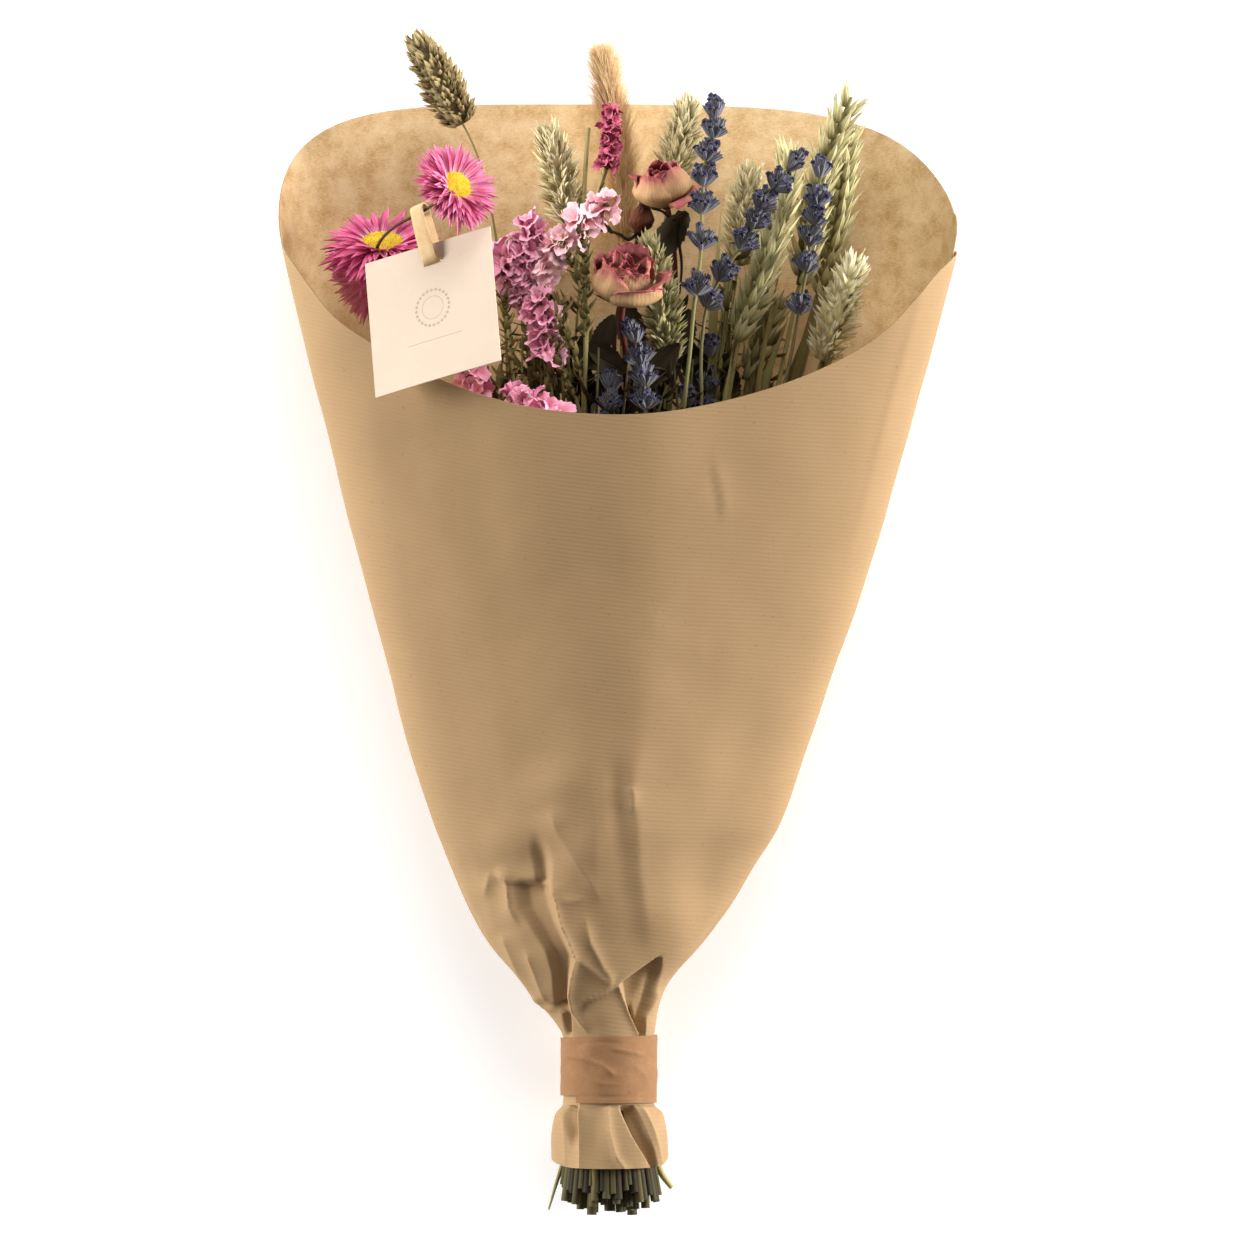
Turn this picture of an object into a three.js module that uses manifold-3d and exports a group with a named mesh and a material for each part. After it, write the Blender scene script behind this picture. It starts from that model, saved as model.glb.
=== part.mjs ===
// A dried wild flower bouquet in a kraft paper sleeve, lying on its back. Millimetres, +X right, +Y towards
// the flowers, +Z up. The origin is on the surface that it lies on, under the middle of its length and width.
// Every stem runs from its cut foot through the taped neck of the sleeve and fans out to its own flower head.
import * as THREE from "three";
import { mergeVertices } from "three/addons/utils/BufferGeometryUtils.js";
import Module from "manifold-3d";

const wasm = await Module();
wasm.setup();

// ---------------------------------------------------------------- driving dimensions
const GAP = 0.35; // between pieces that touch
const PAPER = 0.8; // wall of the sleeve
const TAPE = 0.7; // wall of the paper tape
const NECK = { x: -4.4, z: 21.5, radius: 17.7, low: -184, high: -158 };
const SKIRT_END = -208;
const FOOT = { first: -218.2, spread: 8, flare: 1.12 }; // cut ends, and how far they fan out below the neck
const RIM = { side: 146, front: 78, back: 197 }; // where the sleeve's rim lies along Y
const CARD = { side: 55.3, thick: 0.6, slotWide: 8.2, slotHigh: 3 };
const STRAP = { wide: 6.2, thick: 0.6, inside: 2.7 };
const LEVELS = [NECK.low, NECK.high, -140, -122, -85, -25, 40]; // where hidden stems are spaced apart
const STEM_SIDES = 6;

// The sleeve, station by station: y, left x, right x, lowest z, z of the widest line, highest z, and how
// square the lower half is (0 round, 1 flat-bottomed).
const SLEEVE = [
  [-208, -25.4, 17.6, 1.2, 21.5, 41.6, 0],
  [-196, -24.4, 16.2, 2.2, 21.5, 40.6, 0],
  [-184, -22.1, 13.3, 3.8, 21.5, 39.2, 0],
  [-158, -22.1, 13.3, 3.8, 21.5, 39.2, 0],
  [-140, -36, 17.6, 2, 22.5, 44.5, 0.2],
  [-125, -49, 29.8, 0.6, 23.5, 50.5, 0.5],
  [-110, -58, 41.5, 0, 25, 56, 0.8],
  [-94, -65, 51.2, 0, 26.5, 60.5, 1],
  [-79, -70.5, 60.5, 0, 28, 64.5, 1],
  [-49, -80.5, 71.3, 0, 30.5, 69.5, 1],
  [-18, -88.5, 82, 0, 33, 74.5, 1],
  [12, -96.5, 92.5, 0, 35, 79.5, 1],
  [42, -104.5, 102, 0, 37.5, 85, 1],
  [78, -113.5, 111.5, 0, 40, 91, 1],
  [103, -119.5, 119, 0, 42, 95, 1],
  [134, -127.3, 127.3, 0, 44, 99, 1],
  [149, -130.2, 129.8, 0, 45, 101, 1],
  [166, -132.5, 132.5, 0, 46, 103, 1],
  [197, -137, 137, 0, 48, 105, 1],
];

// ---------------------------------------------------------------- colours
const paint = (color, roughness = 0.85) => new THREE.MeshStandardMaterial({ color, roughness, metalness: 0 });
const MATERIAL = {
  kraft: paint(0xc9a57c),
  tape: paint(0xa87c58),
  card: paint(0xf7e4cc),
  strap: paint(0xd9bd92),
  pink: paint(0xd0568f),
  yellow: paint(0xe8c91e),
  twig: paint(0x6d5a3c),
  phalaris: paint(0xa39a6b),
  wheat: paint(0x9a9560),
  plume: paint(0xc4a06a),
  statice: paint(0xcd8497),
  rose: paint(0xc98f78),
  lavender: paint(0x6f6a85),
  stem: paint(0x6b6b3e),
};

// ---------------------------------------------------------------- closed surfaces and joins
const V = (x, y, z) => new THREE.Vector3(x, y, z);
const vectors = (list) => list.map((p) => V(...p));
const TURN = 2 * Math.PI;
const GOLDEN = TURN * 0.381966;
const degrees = (a) => (a * Math.PI) / 180;

// A repeatable draw between 0 and 1.
function draw(seed) {
  const x = Math.sin(seed * 12.9898 + 4.1) * 43758.5453;
  return x - Math.floor(x);
}

// A closed surface through rings with equally many points. A ring of one point is a tip, a wide end ring is
// closed flat, and a loop joins the last ring to the first.
function skin(rings, loop = false) {
  const points = [];
  const starts = rings.map((ring) => points.push(...ring) - ring.length);
  const count = Math.max(...rings.map((ring) => ring.length));
  const at = (k, i) => starts[k] + (rings[k].length === 1 ? 0 : i % count);
  const faces = [];
  for (let k = 0; k < (loop ? rings.length : rings.length - 1); k++) {
    const next = (k + 1) % rings.length;
    for (let i = 0; i < count; i++) {
      if (rings[k].length > 1) faces.push(at(k, i), at(k, i + 1), at(next, i + 1));
      if (rings[next].length > 1) faces.push(at(k, i), at(next, i + 1), at(next, i));
    }
  }
  const last = rings.length - 1;
  for (let i = 1; !loop && i < count - 1; i++) {
    if (rings[0].length > 1) faces.push(at(0, 0), at(0, i + 1), at(0, i));
    if (rings[last].length > 1) faces.push(at(last, 0), at(last, i), at(last, i + 1));
  }
  let volume = 0;
  for (let i = 0; i < faces.length; i += 3) {
    const [a, b, c] = [points[faces[i]], points[faces[i + 1]], points[faces[i + 2]]];
    volume += a.dot(b.clone().cross(c));
  }
  if (volume < 0) faces.reverse();
  return new THREE.BufferGeometry().setFromPoints(points).setIndex(faces);
}

function solid(geometry) {
  const bare = new THREE.BufferGeometry().setAttribute("position", geometry.getAttribute("position"));
  bare.setIndex(geometry.index);
  const merged = mergeVertices(bare, 1e-4);
  const vertProperties = merged.attributes.position.array;
  const triVerts = new Uint32Array(merged.index.array);
  return new wasm.Manifold(new wasm.Mesh({ numProp: 3, vertProperties, triVerts }));
}

function geometryOf(manifold) {
  const { vertProperties, triVerts } = manifold.getMesh();
  const position = new THREE.BufferAttribute(new Float32Array(vertProperties), 3);
  return new THREE.BufferGeometry().setAttribute("position", position).setIndex([...triVerts]);
}

// Joins skins that are sunk into each other, and drops any scrap that comes loose.
function fuse(skins) {
  const joined = wasm.Manifold.union(skins.map(solid));
  const bodies = joined.decompose().sort((a, b) => b.volume() - a.volume());
  return geometryOf(bodies[0].simplify(0.05));
}

// ---------------------------------------------------------------- directions along a flower's axis
// Two directions square to a third: across it, and towards the sky side of it.
function squareTo(along) {
  const level = Math.abs(along.z) > 0.95 ? V(0, 1, 0) : V(0, 0, 1);
  const across = along.clone().cross(level).normalize();
  return { across, sky: across.clone().cross(along).normalize() };
}

function around({ across, sky }, angle) {
  return across.clone().multiplyScalar(Math.cos(angle)).addScaledVector(sky, Math.sin(angle));
}

function ring(centre, frame, radius, sides, phase = 0) {
  const spoke = (i) => around(frame, phase + (TURN * i) / sides);
  return Array.from({ length: sides }, (_, i) => centre.clone().addScaledVector(spoke(i), radius));
}

// A point, a direction and its square frame at a share of a curve.
function station(curve, share) {
  const along = curve.getTangentAt(Math.min(Math.max(share, 0), 1));
  return { at: curve.getPointAt(Math.min(Math.max(share, 0), 1)), along, frame: squareTo(along) };
}

// A flat blade along a line of points: its edge points and a thin ridge on either face.
function blade(line, widths, thick, face) {
  const rings = line.map((point, k) => {
    if (widths[k] === 0) return [point];
    const before = line[Math.max(k - 1, 0)];
    const after = line[Math.min(k + 1, line.length - 1)];
    const along = after.clone().sub(before).normalize();
    const across = along.clone().cross(face).normalize().multiplyScalar(widths[k] / 2);
    const up = across.clone().cross(along).normalize().multiplyScalar(thick / 2);
    const corner = (s, t) => point.clone().addScaledVector(across, s).addScaledVector(up, t);
    return [corner(1, 0), corner(0, 1), corner(-1, 0), corner(0, -1)];
  });
  return skin(rings);
}

// ---------------------------------------------------------------- the paper sleeve
// A value of the station table at any y, on a smooth curve through the stations.
function sleeveAt(y, column) {
  const rows = SLEEVE;
  let k = rows.findIndex((row) => row[0] >= y);
  k = Math.min(Math.max(k, 1), rows.length - 1);
  const [y0, y1] = [rows[k - 1][0], rows[k][0]];
  const [v0, v1] = [rows[k - 1][column], rows[k][column]];
  const slope = (i) => {
    const [a, b] = [rows[Math.max(i - 1, 0)], rows[Math.min(i + 1, rows.length - 1)]];
    return (b[column] - a[column]) / (b[0] - a[0]);
  };
  const t = Math.min(Math.max((y - y0) / (y1 - y0), 0), 1);
  const [h, s] = [y1 - y0, t * t * (3 - 2 * t)];
  const bend = slope(k - 1) * h * (t - 2 * t * t + t * t * t) + slope(k) * h * (t * t * t - t * t);
  return v0 + (v1 - v0) * s + bend;
}

// How far the gathered paper stands in or out: soft pleats above the tape and in the skirt below it.
function pleat(angle, y) {
  const above = Math.max(0, Math.sin((Math.PI * (y - NECK.high)) / 88));
  const inCollar = y > NECK.high && y < NECK.high + 88 ? above : 0;
  const inSkirt = y < NECK.low ? (NECK.low - y) / (NECK.low - SKIRT_END) : 0;
  const top = Math.min(1, Math.max(0, 0.35 + Math.sin(angle)));
  const fold = -3.2 * inCollar * top * (0.5 - 0.5 * Math.cos(6 * angle + 0.8));
  return fold + 0.9 * inSkirt * Math.cos(7 * angle);
}

// The sleeve's section is half an ellipse above, and below it a rounded box that lies flat on the surface.
function sleevePoint(angle, y, inset) {
  const [left, right] = [sleeveAt(y, 1) + inset, sleeveAt(y, 2) - inset];
  const [low, middle, high] = [sleeveAt(y, 3) + inset, sleeveAt(y, 4), sleeveAt(y, 5) - inset];
  const square = sleeveAt(y, 6);
  const power = 1 - 0.43 * square;
  const [c, s] = [Math.cos(angle), Math.sin(angle)];
  const out = pleat(angle, y);
  const [centre, half] = [(left + right) / 2, (right - left) / 2];
  if (s >= 0) return V(centre + (half + out) * c, y, middle + (high - middle + out) * s);
  const drop = Math.min(1, (1 + 0.06 * square) * Math.pow(-s, power));
  const reach = Math.sign(c) * Math.pow(Math.abs(c), power);
  return V(centre + half * reach, y, middle - (middle - low) * drop);
}

// The rim is cut on a slant: short in front, long at the back. In front it runs up to a corner on the right;
// at the back it is cut lower on that side.
function rimAt(angle) {
  const [c, s] = [Math.cos(angle), Math.sin(angle)];
  const bell = (x, width) => Math.exp(-Math.pow(x / width, 2));
  if (s < 0) {
    const back = RIM.side + (RIM.back - RIM.side) * (1 - Math.pow(1 + s, 1.4));
    const onRight = Math.min(1, 2.2 * Math.max(c, 0)) * Math.min(1, -4 * s);
    return back - 10.5 * bell(s + 0.5, 0.42) * onRight;
  }
  const front = RIM.side - (RIM.side - RIM.front) * s - 9 * s * (1 - s) * Math.max(c, 0);
  return front + (c > 0 ? 8.7 * bell(angle - 0.34, 0.19) : 4.5 * bell(Math.PI - 0.26 - angle, 0.17));
}

function paperSleeve() {
  const columns = 36;
  const below = [-208, -184, -158, -149, -140, -132, -124, -110, -94, -70, -30, 20];
  const shares = [0.35, 0.7, 1]; // of the way from the last station to the rim
  const row = (k, inset) =>
    Array.from({ length: columns }, (_, i) => {
      const angle = (TURN * i) / columns;
      if (k < below.length) return sleevePoint(angle, below[k], inset);
      const y = below.at(-1) + (rimAt(angle) - below.at(-1)) * shares[k - below.length];
      return sleevePoint(angle, y, inset);
    });
  const outer = Array.from({ length: below.length + shares.length }, (_, k) => row(k, 0));
  const inner = Array.from({ length: below.length + shares.length }, (_, k) => row(k, PAPER)).reverse();
  return skin([...outer, ...inner], true);
}

// The tape is wound one and a half times round the neck, so that half of it is a second layer.
function paperBand() {
  const columns = 32;
  const ringOf = (radius, y, step) =>
    Array.from({ length: columns }, (_, i) => {
      const angle = (TURN * i) / columns;
      const second = step && Math.sin(angle + 0.5) > 0 ? 0.3 : 0;
      const slant = 1.6 * Math.cos(angle) * (y < -170 ? 1 : 0.2);
      const reach = radius + second;
      return V(NECK.x + reach * Math.cos(angle), y - slant, NECK.z + reach * Math.sin(angle));
    });
  const inside = NECK.radius + GAP + 0.1;
  const [low, high] = [NECK.low + 2.2, NECK.high - 0.5];
  const outer = [ringOf(inside + TAPE, low, true), ringOf(inside + TAPE, high, true)];
  return skin([...outer, ringOf(inside, high), ringOf(inside, low)], true);
}

// ---------------------------------------------------------------- the plants
// Each plant: the points of its head's axis from base to tip, points that its stem passes first (via), the
// radius of its head and of its stem at the foot and at the head.
const PLANTS = {
  phalaris_1: {
    axis: [[-59.7, 189.6, 26], [-70, 208, 29], [-78.7, 223.8, 30]], radius: 8.6, stem: [2.1, 0.6],
  },
  phalaris_2: { axis: [[-18.2, 150.5, 27], [-28.5, 190.4, 29]], radius: 9, stem: [2.2, 0.7] },
  phalaris_3: { axis: [[17.9, 98.4, 52], [16, 118, 56], [10.6, 147.8, 58]], radius: 8.6, stem: [2.2, 0.7] },
  phalaris_4: { axis: [[19.8, 165.7, 21], [26.6, 200.6, 20]], radius: 8.6, stem: [2.1, 0.7] },
  phalaris_5: { axis: [[76.8, 99.2, 42], [84, 120, 45], [90.4, 141, 46]], radius: 10.4, stem: [2.2, 0.7] },
  phalaris_6: { axis: [[44.8, 135.3, 24], [50.2, 175.2, 25]], radius: 9, stem: [2.2, 0.7] },
  wheat_1: {
    axis: [[68.4, 127.7, 33], [73, 152.4, 34], [79.8, 179, 36], [87.8, 204.8, 36]], radius: 6.4,
    stem: [2.4, 1.1],
  },
  wheat_2: {
    axis: [[79, 122, 18], [84, 142, 19], [88.5, 162, 20], [91.6, 187.3, 22]], radius: 6.2,
    stem: [2.3, 1.1],
  },
  wheat_3: {
    axis: [[43.7, 106.8, 44], [51.3, 124, 46], [58.9, 147, 47], [65.7, 182, 48]], radius: 6.4,
    stem: [2.4, 1.1],
  },
  wheat_4: { axis: [[47.5, 91.6, 27], [60.8, 122, 27]], radius: 5.8, stem: [2.2, 1] },
  plume: {
    axis: [[1.6, 142.9, 12], [0.4, 172, 12.5], [-3, 195, 13], [-6.5, 216, 13.5]], radius: 8.4,
    stem: [2.1, 0.8],
  },
  lavender_1: {
    whorls: [
      [29.3, 128.4, 74], [30.8, 145.5, 75], [31.2, 159.2, 75], [31.9, 169.5, 75], [33.4, 179, 75],
      [36, 187.3, 75], [35.7, 194.5, 75],
    ],
    radius: 5.6,
    stem: [1.9, 0.9],
  },
  lavender_2: {
    whorls: [
      [34.6, 122.7, 61], [39.9, 133, 63], [47.9, 145.2, 65], [52, 152.6, 67], [55, 160.5, 68],
      [60.8, 167.4, 70], [66.5, 174.5, 71],
    ],
    via: [[30.6, 79.4, 64.5], [31.5, 106.8, 62.5]],
    radius: 5.6,
    stem: [1.9, 0.8],
  },
  lavender_3: {
    whorls: [
      [68.8, 121.2, 57], [71.2, 137.2, 58], [72.4, 147.1, 58], [74.6, 154.5, 58], [75, 162.3, 58],
      [76.2, 172.5, 58],
    ],
    radius: 5.2,
    stem: [1.9, 0.8],
  },
  lavender_4: {
    whorls: [[9.3, 84.7, 73], [8.8, 93.9, 75], [6.8, 101.5, 76], [4.5, 110, 77]], radius: 5.6,
    stem: [1.9, 0.8],
  },
  lavender_5: { whorls: [[-5.2, 76, 68], [-3.8, 84.5, 69], [-3.4, 91, 69]], radius: 5.2, stem: [1.9, 0.8] },
  lavender_6: { whorls: [[24.8, 68, 57], [26, 78, 58], [25.8, 86, 59]], radius: 4.8, stem: [1.9, 0.8] },
  lavender_7: { whorls: [[32.6, 82, 44], [33.5, 92, 45], [34.6, 105, 46]], radius: 5, stem: [1.9, 0.8] },
  daisy_1: {
    via: [[-94, 92, 59], [-99.6, 116, 61], [-99.4, 136, 62], [-89.5, 147.5, 64.5], [-75.6, 155, 70.5]],
    centre: [-60.8, 165.5, 91],
    facing: [0.58, 0.46, 0.67],
    radius: 17.5,
    disc: 6,
    stem: [2, 0.8],
  },
  daisy_2: {
    via: [[-84, 118, 40]], centre: [-90, 143, 44], facing: [0.02, 0.86, 0.5], radius: 22, disc: 8,
    stem: [2, 0.8],
  },
  daisy_3: {
    via: [[-84, 96, 34]], centre: [-98, 129, 37], facing: [-0.8, -0.42, 0.42], radius: 15.5, disc: 6,
    stem: [2, 0.8],
  },
  rose_1: {
    centre: [17.4, 160.5, 45], facing: [-0.15, 0.84, 0.52], radius: 10, stem: [2.6, 1.5],
    leaves: [[27, 143, 42, 0.5]],
  },
  rose_2: {
    via: [[2, 102, 57]],
    centre: [1.5, 122, 76],
    facing: [-0.12, 0.84, 0.52],
    radius: 13.5,
    stem: [2.7, 1.6],
    leaves: [[-8, 100, 56, 2.6], [14, 96, 58, 0.8], [-2, 84, 52, 1.9]],
  },
  rose_3: {
    via: [[4, 138, 36]], centre: [6.6, 146, 37], facing: [0.18, 0.9, 0.3], radius: 5, stem: [2.3, 1.1],
    leaves: [],
  },
  statice_1: {
    axis: [[-33, 118, 58], [-30, 134, 61]],
    combs: [
      [[-32, 124, 59], [-37, 136, 62], [-33, 150, 63]],
      [[-31, 130, 60], [-20, 146, 66], [-5, 158, 68]],
      [[-33, 122, 58], [-42, 128, 60], [-43, 140, 62]],
    ],
    florets: [5, 6, 3],
    stem: [2.5, 1.3],
  },
  statice_2: {
    axis: [[-27, 84, 62], [-28, 100, 64]], combs: [[[-28, 98, 64], [-29, 110, 66], [-31, 122, 66]]],
    florets: [5], stem: [2.4, 1.2],
  },
  statice_3: {
    axis: [[-31, 66, 66], [-31, 76, 69]], combs: [[[-25, 76, 69], [-32, 82, 71], [-40, 84, 70]]],
    florets: [4], stem: [2.4, 1.2],
  },
  statice_4: {
    axis: [[-52, 70, 54], [-54, 82, 57]], combs: [[[-54, 80, 57], [-56, 90, 59], [-58, 98, 60]]],
    florets: [4], stem: [2.4, 1.2],
  },
  statice_5: {
    axis: [[-9, 160, 38], [-5, 172, 38]], combs: [[[-5, 172, 38], [-3.4, 183, 39], [-3.5, 194, 39]]],
    florets: [6], stem: [2.1, 0.9],
  },
  bare_stem_1: { via: [[-13, 168, 33]], end: [-11.8, 187.6, 33], stem: [2, 1.2] },
  bare_stem_2: { end: [-62, 70, 30], stem: [2.6, 1.2] },
  bare_stem_3: { end: [30, 72, 20], stem: [2.3, 1.2] },
  bare_stem_4: { end: [62, 66, 58], stem: [2.1, 1.2] },
  bare_stem_5: { end: [-20, 74, 22], stem: [2.3, 1.2] },
};

const kindOf = (name) => name.split("_")[0];

// The first point of a plant that is placed by hand: above it stems keep to their given points.
function firstPlaced(plant) {
  const first = plant.via?.[0] ?? plant.axis?.[0] ?? plant.whorls?.[0] ?? plant.end;
  if (first) return V(...first);
  return V(...plant.centre).addScaledVector(V(...plant.facing).normalize(), -4);
}

// Hidden stretches of the stems. They start packed in the neck, each on the side that its flower is on. At
// every level they go straight on from the level below, then are pushed apart until no two of them touch.
// Returns, for each plant, its points at the levels.
function spaceStems(plants) {
  const names = Object.keys(plants);
  const targets = names.map((name) => firstPlaced(plants[name]));
  const radii = names.map((name) => 0.93 * plants[name].stem[0] + GAP / 2); // its corners rarely meet
  let row = targets.map((t) => {
    const [sideways, upwards] = [(t.x - NECK.x) / (t.y - NECK.low), (t.z - NECK.z) / (t.y - NECK.low)];
    return V(NECK.x + 48 * sideways, NECK.low, NECK.z + 130 * (upwards - 0.085));
  });
  const levels = LEVELS.map((y) => {
    row = row.map((point, i) => {
      const share = y > NECK.high ? (y - point.y) / (targets[i].y - point.y) : 0;
      return point.clone().lerp(targets[i], share).setY(y);
    });
    for (let pass = 0; pass < 600; pass++) {
      const pull = 0.004 * Math.max(0, 1 - pass / 560);
      row.forEach((point, i) => keepInside(point, radii[i] + PAPER + GAP / 2, 1 - pull));
      pushApart(row, radii);
    }
    return row;
  });
  return Object.fromEntries(names.map((name, i) => [name, levels.map((level) => level[i])]));
}

function pushApart(row, radii) {
  for (let i = 0; i < row.length; i++)
    for (let j = i + 1; j < row.length; j++) {
      const apart = V(row[j].x - row[i].x, 0, row[j].z - row[i].z);
      const short = radii[i] + radii[j] - apart.length();
      if (short <= 0) continue;
      apart.setLength(short * 0.5 + 0.01);
      row[i].sub(apart);
      row[j].add(apart);
    }
}

// Brings a point inside the sleeve at its level, and in the neck also draws it gently to the middle.
function keepInside(point, margin, gather) {
  const [left, right, low, high] = [1, 2, 3, 5].map((column) => sleeveAt(point.y, column));
  const [x, z] = [(left + right) / 2, (low + high) / 2];
  const folds = point.y > NECK.high ? 3 : 0;
  const [wide, tall] = [(right - left) / 2 - margin - folds, (high - low) / 2 - margin - folds];
  if (point.y <= NECK.high) point.set(x + (point.x - x) * gather, point.y, z + (point.z - z) * gather);
  const share = Math.hypot((point.x - x) / wide, (point.z - z) / tall);
  if (share > 1) point.set(x + (point.x - x) / share, point.y, z + (point.z - z) / share);
}

const HIDDEN = spaceStems(PLANTS);

// The whole line of a stem, from its cut foot to where its head begins.
function stemLine(name, order) {
  const plant = PLANTS[name];
  const hidden = HIDDEN[name];
  const foot = hidden[0].clone();
  foot.x = NECK.x + (foot.x - NECK.x) * FOOT.flare;
  foot.z = NECK.z + (foot.z - NECK.z) * FOOT.flare;
  foot.y = FOOT.first - FOOT.spread * draw(order);
  return [foot, ...hidden, ...vectors(plant.via ?? [])];
}

// A round stem along its points: each ring lies square to the stem's run, except that hidden rings stay level.
function stemRings(line, [footRadius, headRadius], sides) {
  const total = line.length - 1;
  return line.map((point, k) => {
    const radius = footRadius + (headRadius - footRadius) * (k / total);
    if (point.y <= LEVELS.at(-1)) return ring(point, { across: V(1, 0, 0), sky: V(0, 0, 1) }, radius, sides);
    const along = line[Math.min(k + 1, total)].clone().sub(line[Math.max(k - 1, 0)]).normalize();
    return ring(point, squareTo(along), radius, sides);
  });
}

const stemSkin = (line, radii) => skin(stemRings(line, radii, STEM_SIDES));

// ---------------------------------------------------------------- flower heads
// A head whose surface stands up in pointed scales: every ring has tips and hollows by turns, the tips lean
// forwards, and each ring is turned half a step from the one before it.
function scaledHead(curve, { scales, rows, swell, hollow, lean, flat = 1, end = 0.93 }) {
  const pitch = (end - 0.02) / (rows - 1);
  const rings = Array.from({ length: rows }, (_, k) => {
    const share = 0.02 + pitch * k;
    return Array.from({ length: 2 * scales }, (_, i) => {
      const isTip = (i + k) % 2 === 0;
      const here = station(curve, share + (isTip ? lean * pitch : 0));
      const angle = (TURN * i) / (2 * scales);
      const reach = swell(share) * (isTip ? 1 : hollow);
      here.at.addScaledVector(here.frame.across, reach * Math.cos(angle));
      return here.at.addScaledVector(here.frame.sky, flat * reach * Math.sin(angle));
    });
  });
  return skin([...rings, [curve.getPointAt(1)]]);
}

// Canary grass: an egg-shaped head of overlapping pointed husks.
function phalarisHead(curve, radius) {
  const swell = (s) => radius * Math.pow(Math.sin(Math.PI * (0.14 + 0.76 * s)), 0.7);
  return [scaledHead(curve, { scales: 5, rows: 9, swell, hollow: 0.62, lean: 0.85 })];
}

// Wheat: plump pointed husks up a flattened ear, with a sharp end.
function wheatHead(curve, radius) {
  const swell = (s) => radius * (0.8 + 0.3 * Math.sin(Math.PI * s) - 0.35 * s * s);
  const rows = 2 * Math.round(curve.getLength() / 11.5);
  return [scaledHead(curve, { scales: 4, rows, swell, hollow: 0.5, lean: 0.9, flat: 0.72 })];
}

// A soft grass plume: a slim spindle of hairs that lean forwards all round it.
function plumeHead(curve, radius) {
  const swell = (s) => radius * (0.55 + 0.45 * Math.sin(Math.PI * Math.min(1, Math.max(0, s - 0.05))));
  return [scaledHead(curve, { scales: 6, rows: 13, swell, hollow: 0.68, lean: 0.9, end: 0.95 })];
}

// Lavender: the stem swells at each whorl into a crown of small upright cups.
function lavenderRings(whorls, radius, sides) {
  const curve = new THREE.CatmullRomCurve3(whorls);
  const last = whorls.length - 1;
  const rings = whorls.flatMap((at, k) => {
    const along = curve.getTangent(k / last);
    const frame = squareTo(along);
    const size = k === last ? 0.7 * radius : radius;
    const above = (distance) => at.clone().addScaledVector(along, distance);
    const crown = Array.from({ length: sides }, (_, i) => {
      const isCup = (i + k) % 2 === 0;
      const out = around(frame, (TURN * i) / sides);
      return above(isCup ? 3.2 : 0).addScaledVector(out, size * (isCup ? 1 : 0.52));
    });
    return [ring(above(-2.6), frame, 1, sides), crown, ring(above(1), frame, 0.9, sides)];
  });
  return [...rings, [whorls[last].clone().addScaledVector(curve.getTangent(1), 5)]];
}

// Statice: small papery funnels with a ruffled mouth, in combs along the upper side of each branch.
function staticeHead(plant, seed) {
  const skins = [];
  plant.combs.forEach((points, n) => {
    const comb = new THREE.CatmullRomCurve3(vectors(points));
    skins.push(skin([0, 0.5, 0.95].map((s) => ring(comb.getPointAt(s), station(comb, s).frame, 0.8, 4))));
    for (let k = 0; k < plant.florets[n]; k++) {
      const here = station(comb, 0.12 + (0.86 * k) / (plant.florets[n] - 1));
      const swing = degrees([28, 152, 90, 60, 122][k % 5] + 16 * (draw(seed + k) - 0.5));
      const out = around(here.frame, swing);
      const direction = out.multiplyScalar(0.85).addScaledVector(here.along, 0.5).normalize();
      skins.push(funnel(here.at, direction, 7.4, 4.8));
    }
  });
  return skins;
}

function funnel(root, direction, length, mouth) {
  const frame = squareTo(direction);
  const sides = 5;
  const rim = ring(root.clone().addScaledVector(direction, length), frame, mouth, sides);
  rim.forEach((point, i) => point.addScaledVector(direction, i % 2 ? 0.7 : -0.7));
  const deep = root.clone().addScaledVector(direction, length * 0.62);
  return skin([ring(root, frame, 0.7, sides), rim, [deep]]);
}

// Everlasting daisy: two layers of narrow pointed petals on a shallow cup.
function daisyPetals({ centre, facing, radius, disc }) {
  const middle = V(...centre);
  const along = V(...facing).normalize();
  const frame = squareTo(along);
  const cup = disc + 1.4;
  const level = (up, r) => ring(middle.clone().addScaledVector(along, up), frame, r, 10);
  const lower = { count: 16, tilt: 12, reach: radius, notch: 0.56 * radius, disc, foot: -0.9 };
  const upper = { count: 11, tilt: 36, reach: 0.92 * radius, notch: 0.62 * radius, disc, foot: -0.4 };
  const layers = [lower, upper].map((layer) => petalLayer(middle, frame, along, layer));
  return [skin([level(-2.4, 1.4), level(-1.5, cup), level(0.5, cup)]), ...layers];
}

// A thin ring of paper that is cut into pointed petals and tilts up to their tips.
function petalLayer(middle, frame, along, { count, tilt, reach, notch, disc, foot }) {
  const edge = (up, cut) =>
    Array.from({ length: 2 * count }, (_, i) => {
      const isTip = i % 2 === 0;
      const radius = cut ? (isTip ? reach : notch) : disc;
      const run = radius - disc + (isTip && cut ? 1.5 * Math.sin(2.3 * i) : 0);
      const out = around(frame, (Math.PI * i) / count);
      const at = middle.clone().addScaledVector(out, disc + run * Math.cos(degrees(tilt)));
      return at.addScaledVector(along, foot + up + run * Math.sin(degrees(tilt)));
    });
  return skin([edge(0, false), edge(0, true), edge(0.8, true), edge(0.8, false)]);
}

// The yellow disc: a low dome raised in small bumps.
function daisyDisc({ centre, facing, disc }) {
  const along = V(...facing).normalize();
  const frame = squareTo(along);
  const base = V(...centre).addScaledVector(along, 0.5 + GAP);
  const dome = [0, 0.02, 0.4, 0.8].map((s, k) =>
    ring(base, frame, disc * Math.sqrt(1 - s), 10).map((p, i) =>
      p.addScaledVector(along, k === 0 ? 0 : 2.2 * s + 0.4 + 0.5 * ((i + k) % 2)),
    ),
  );
  return skin([...dome, [base.clone().addScaledVector(along, 2.6)]]);
}

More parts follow.
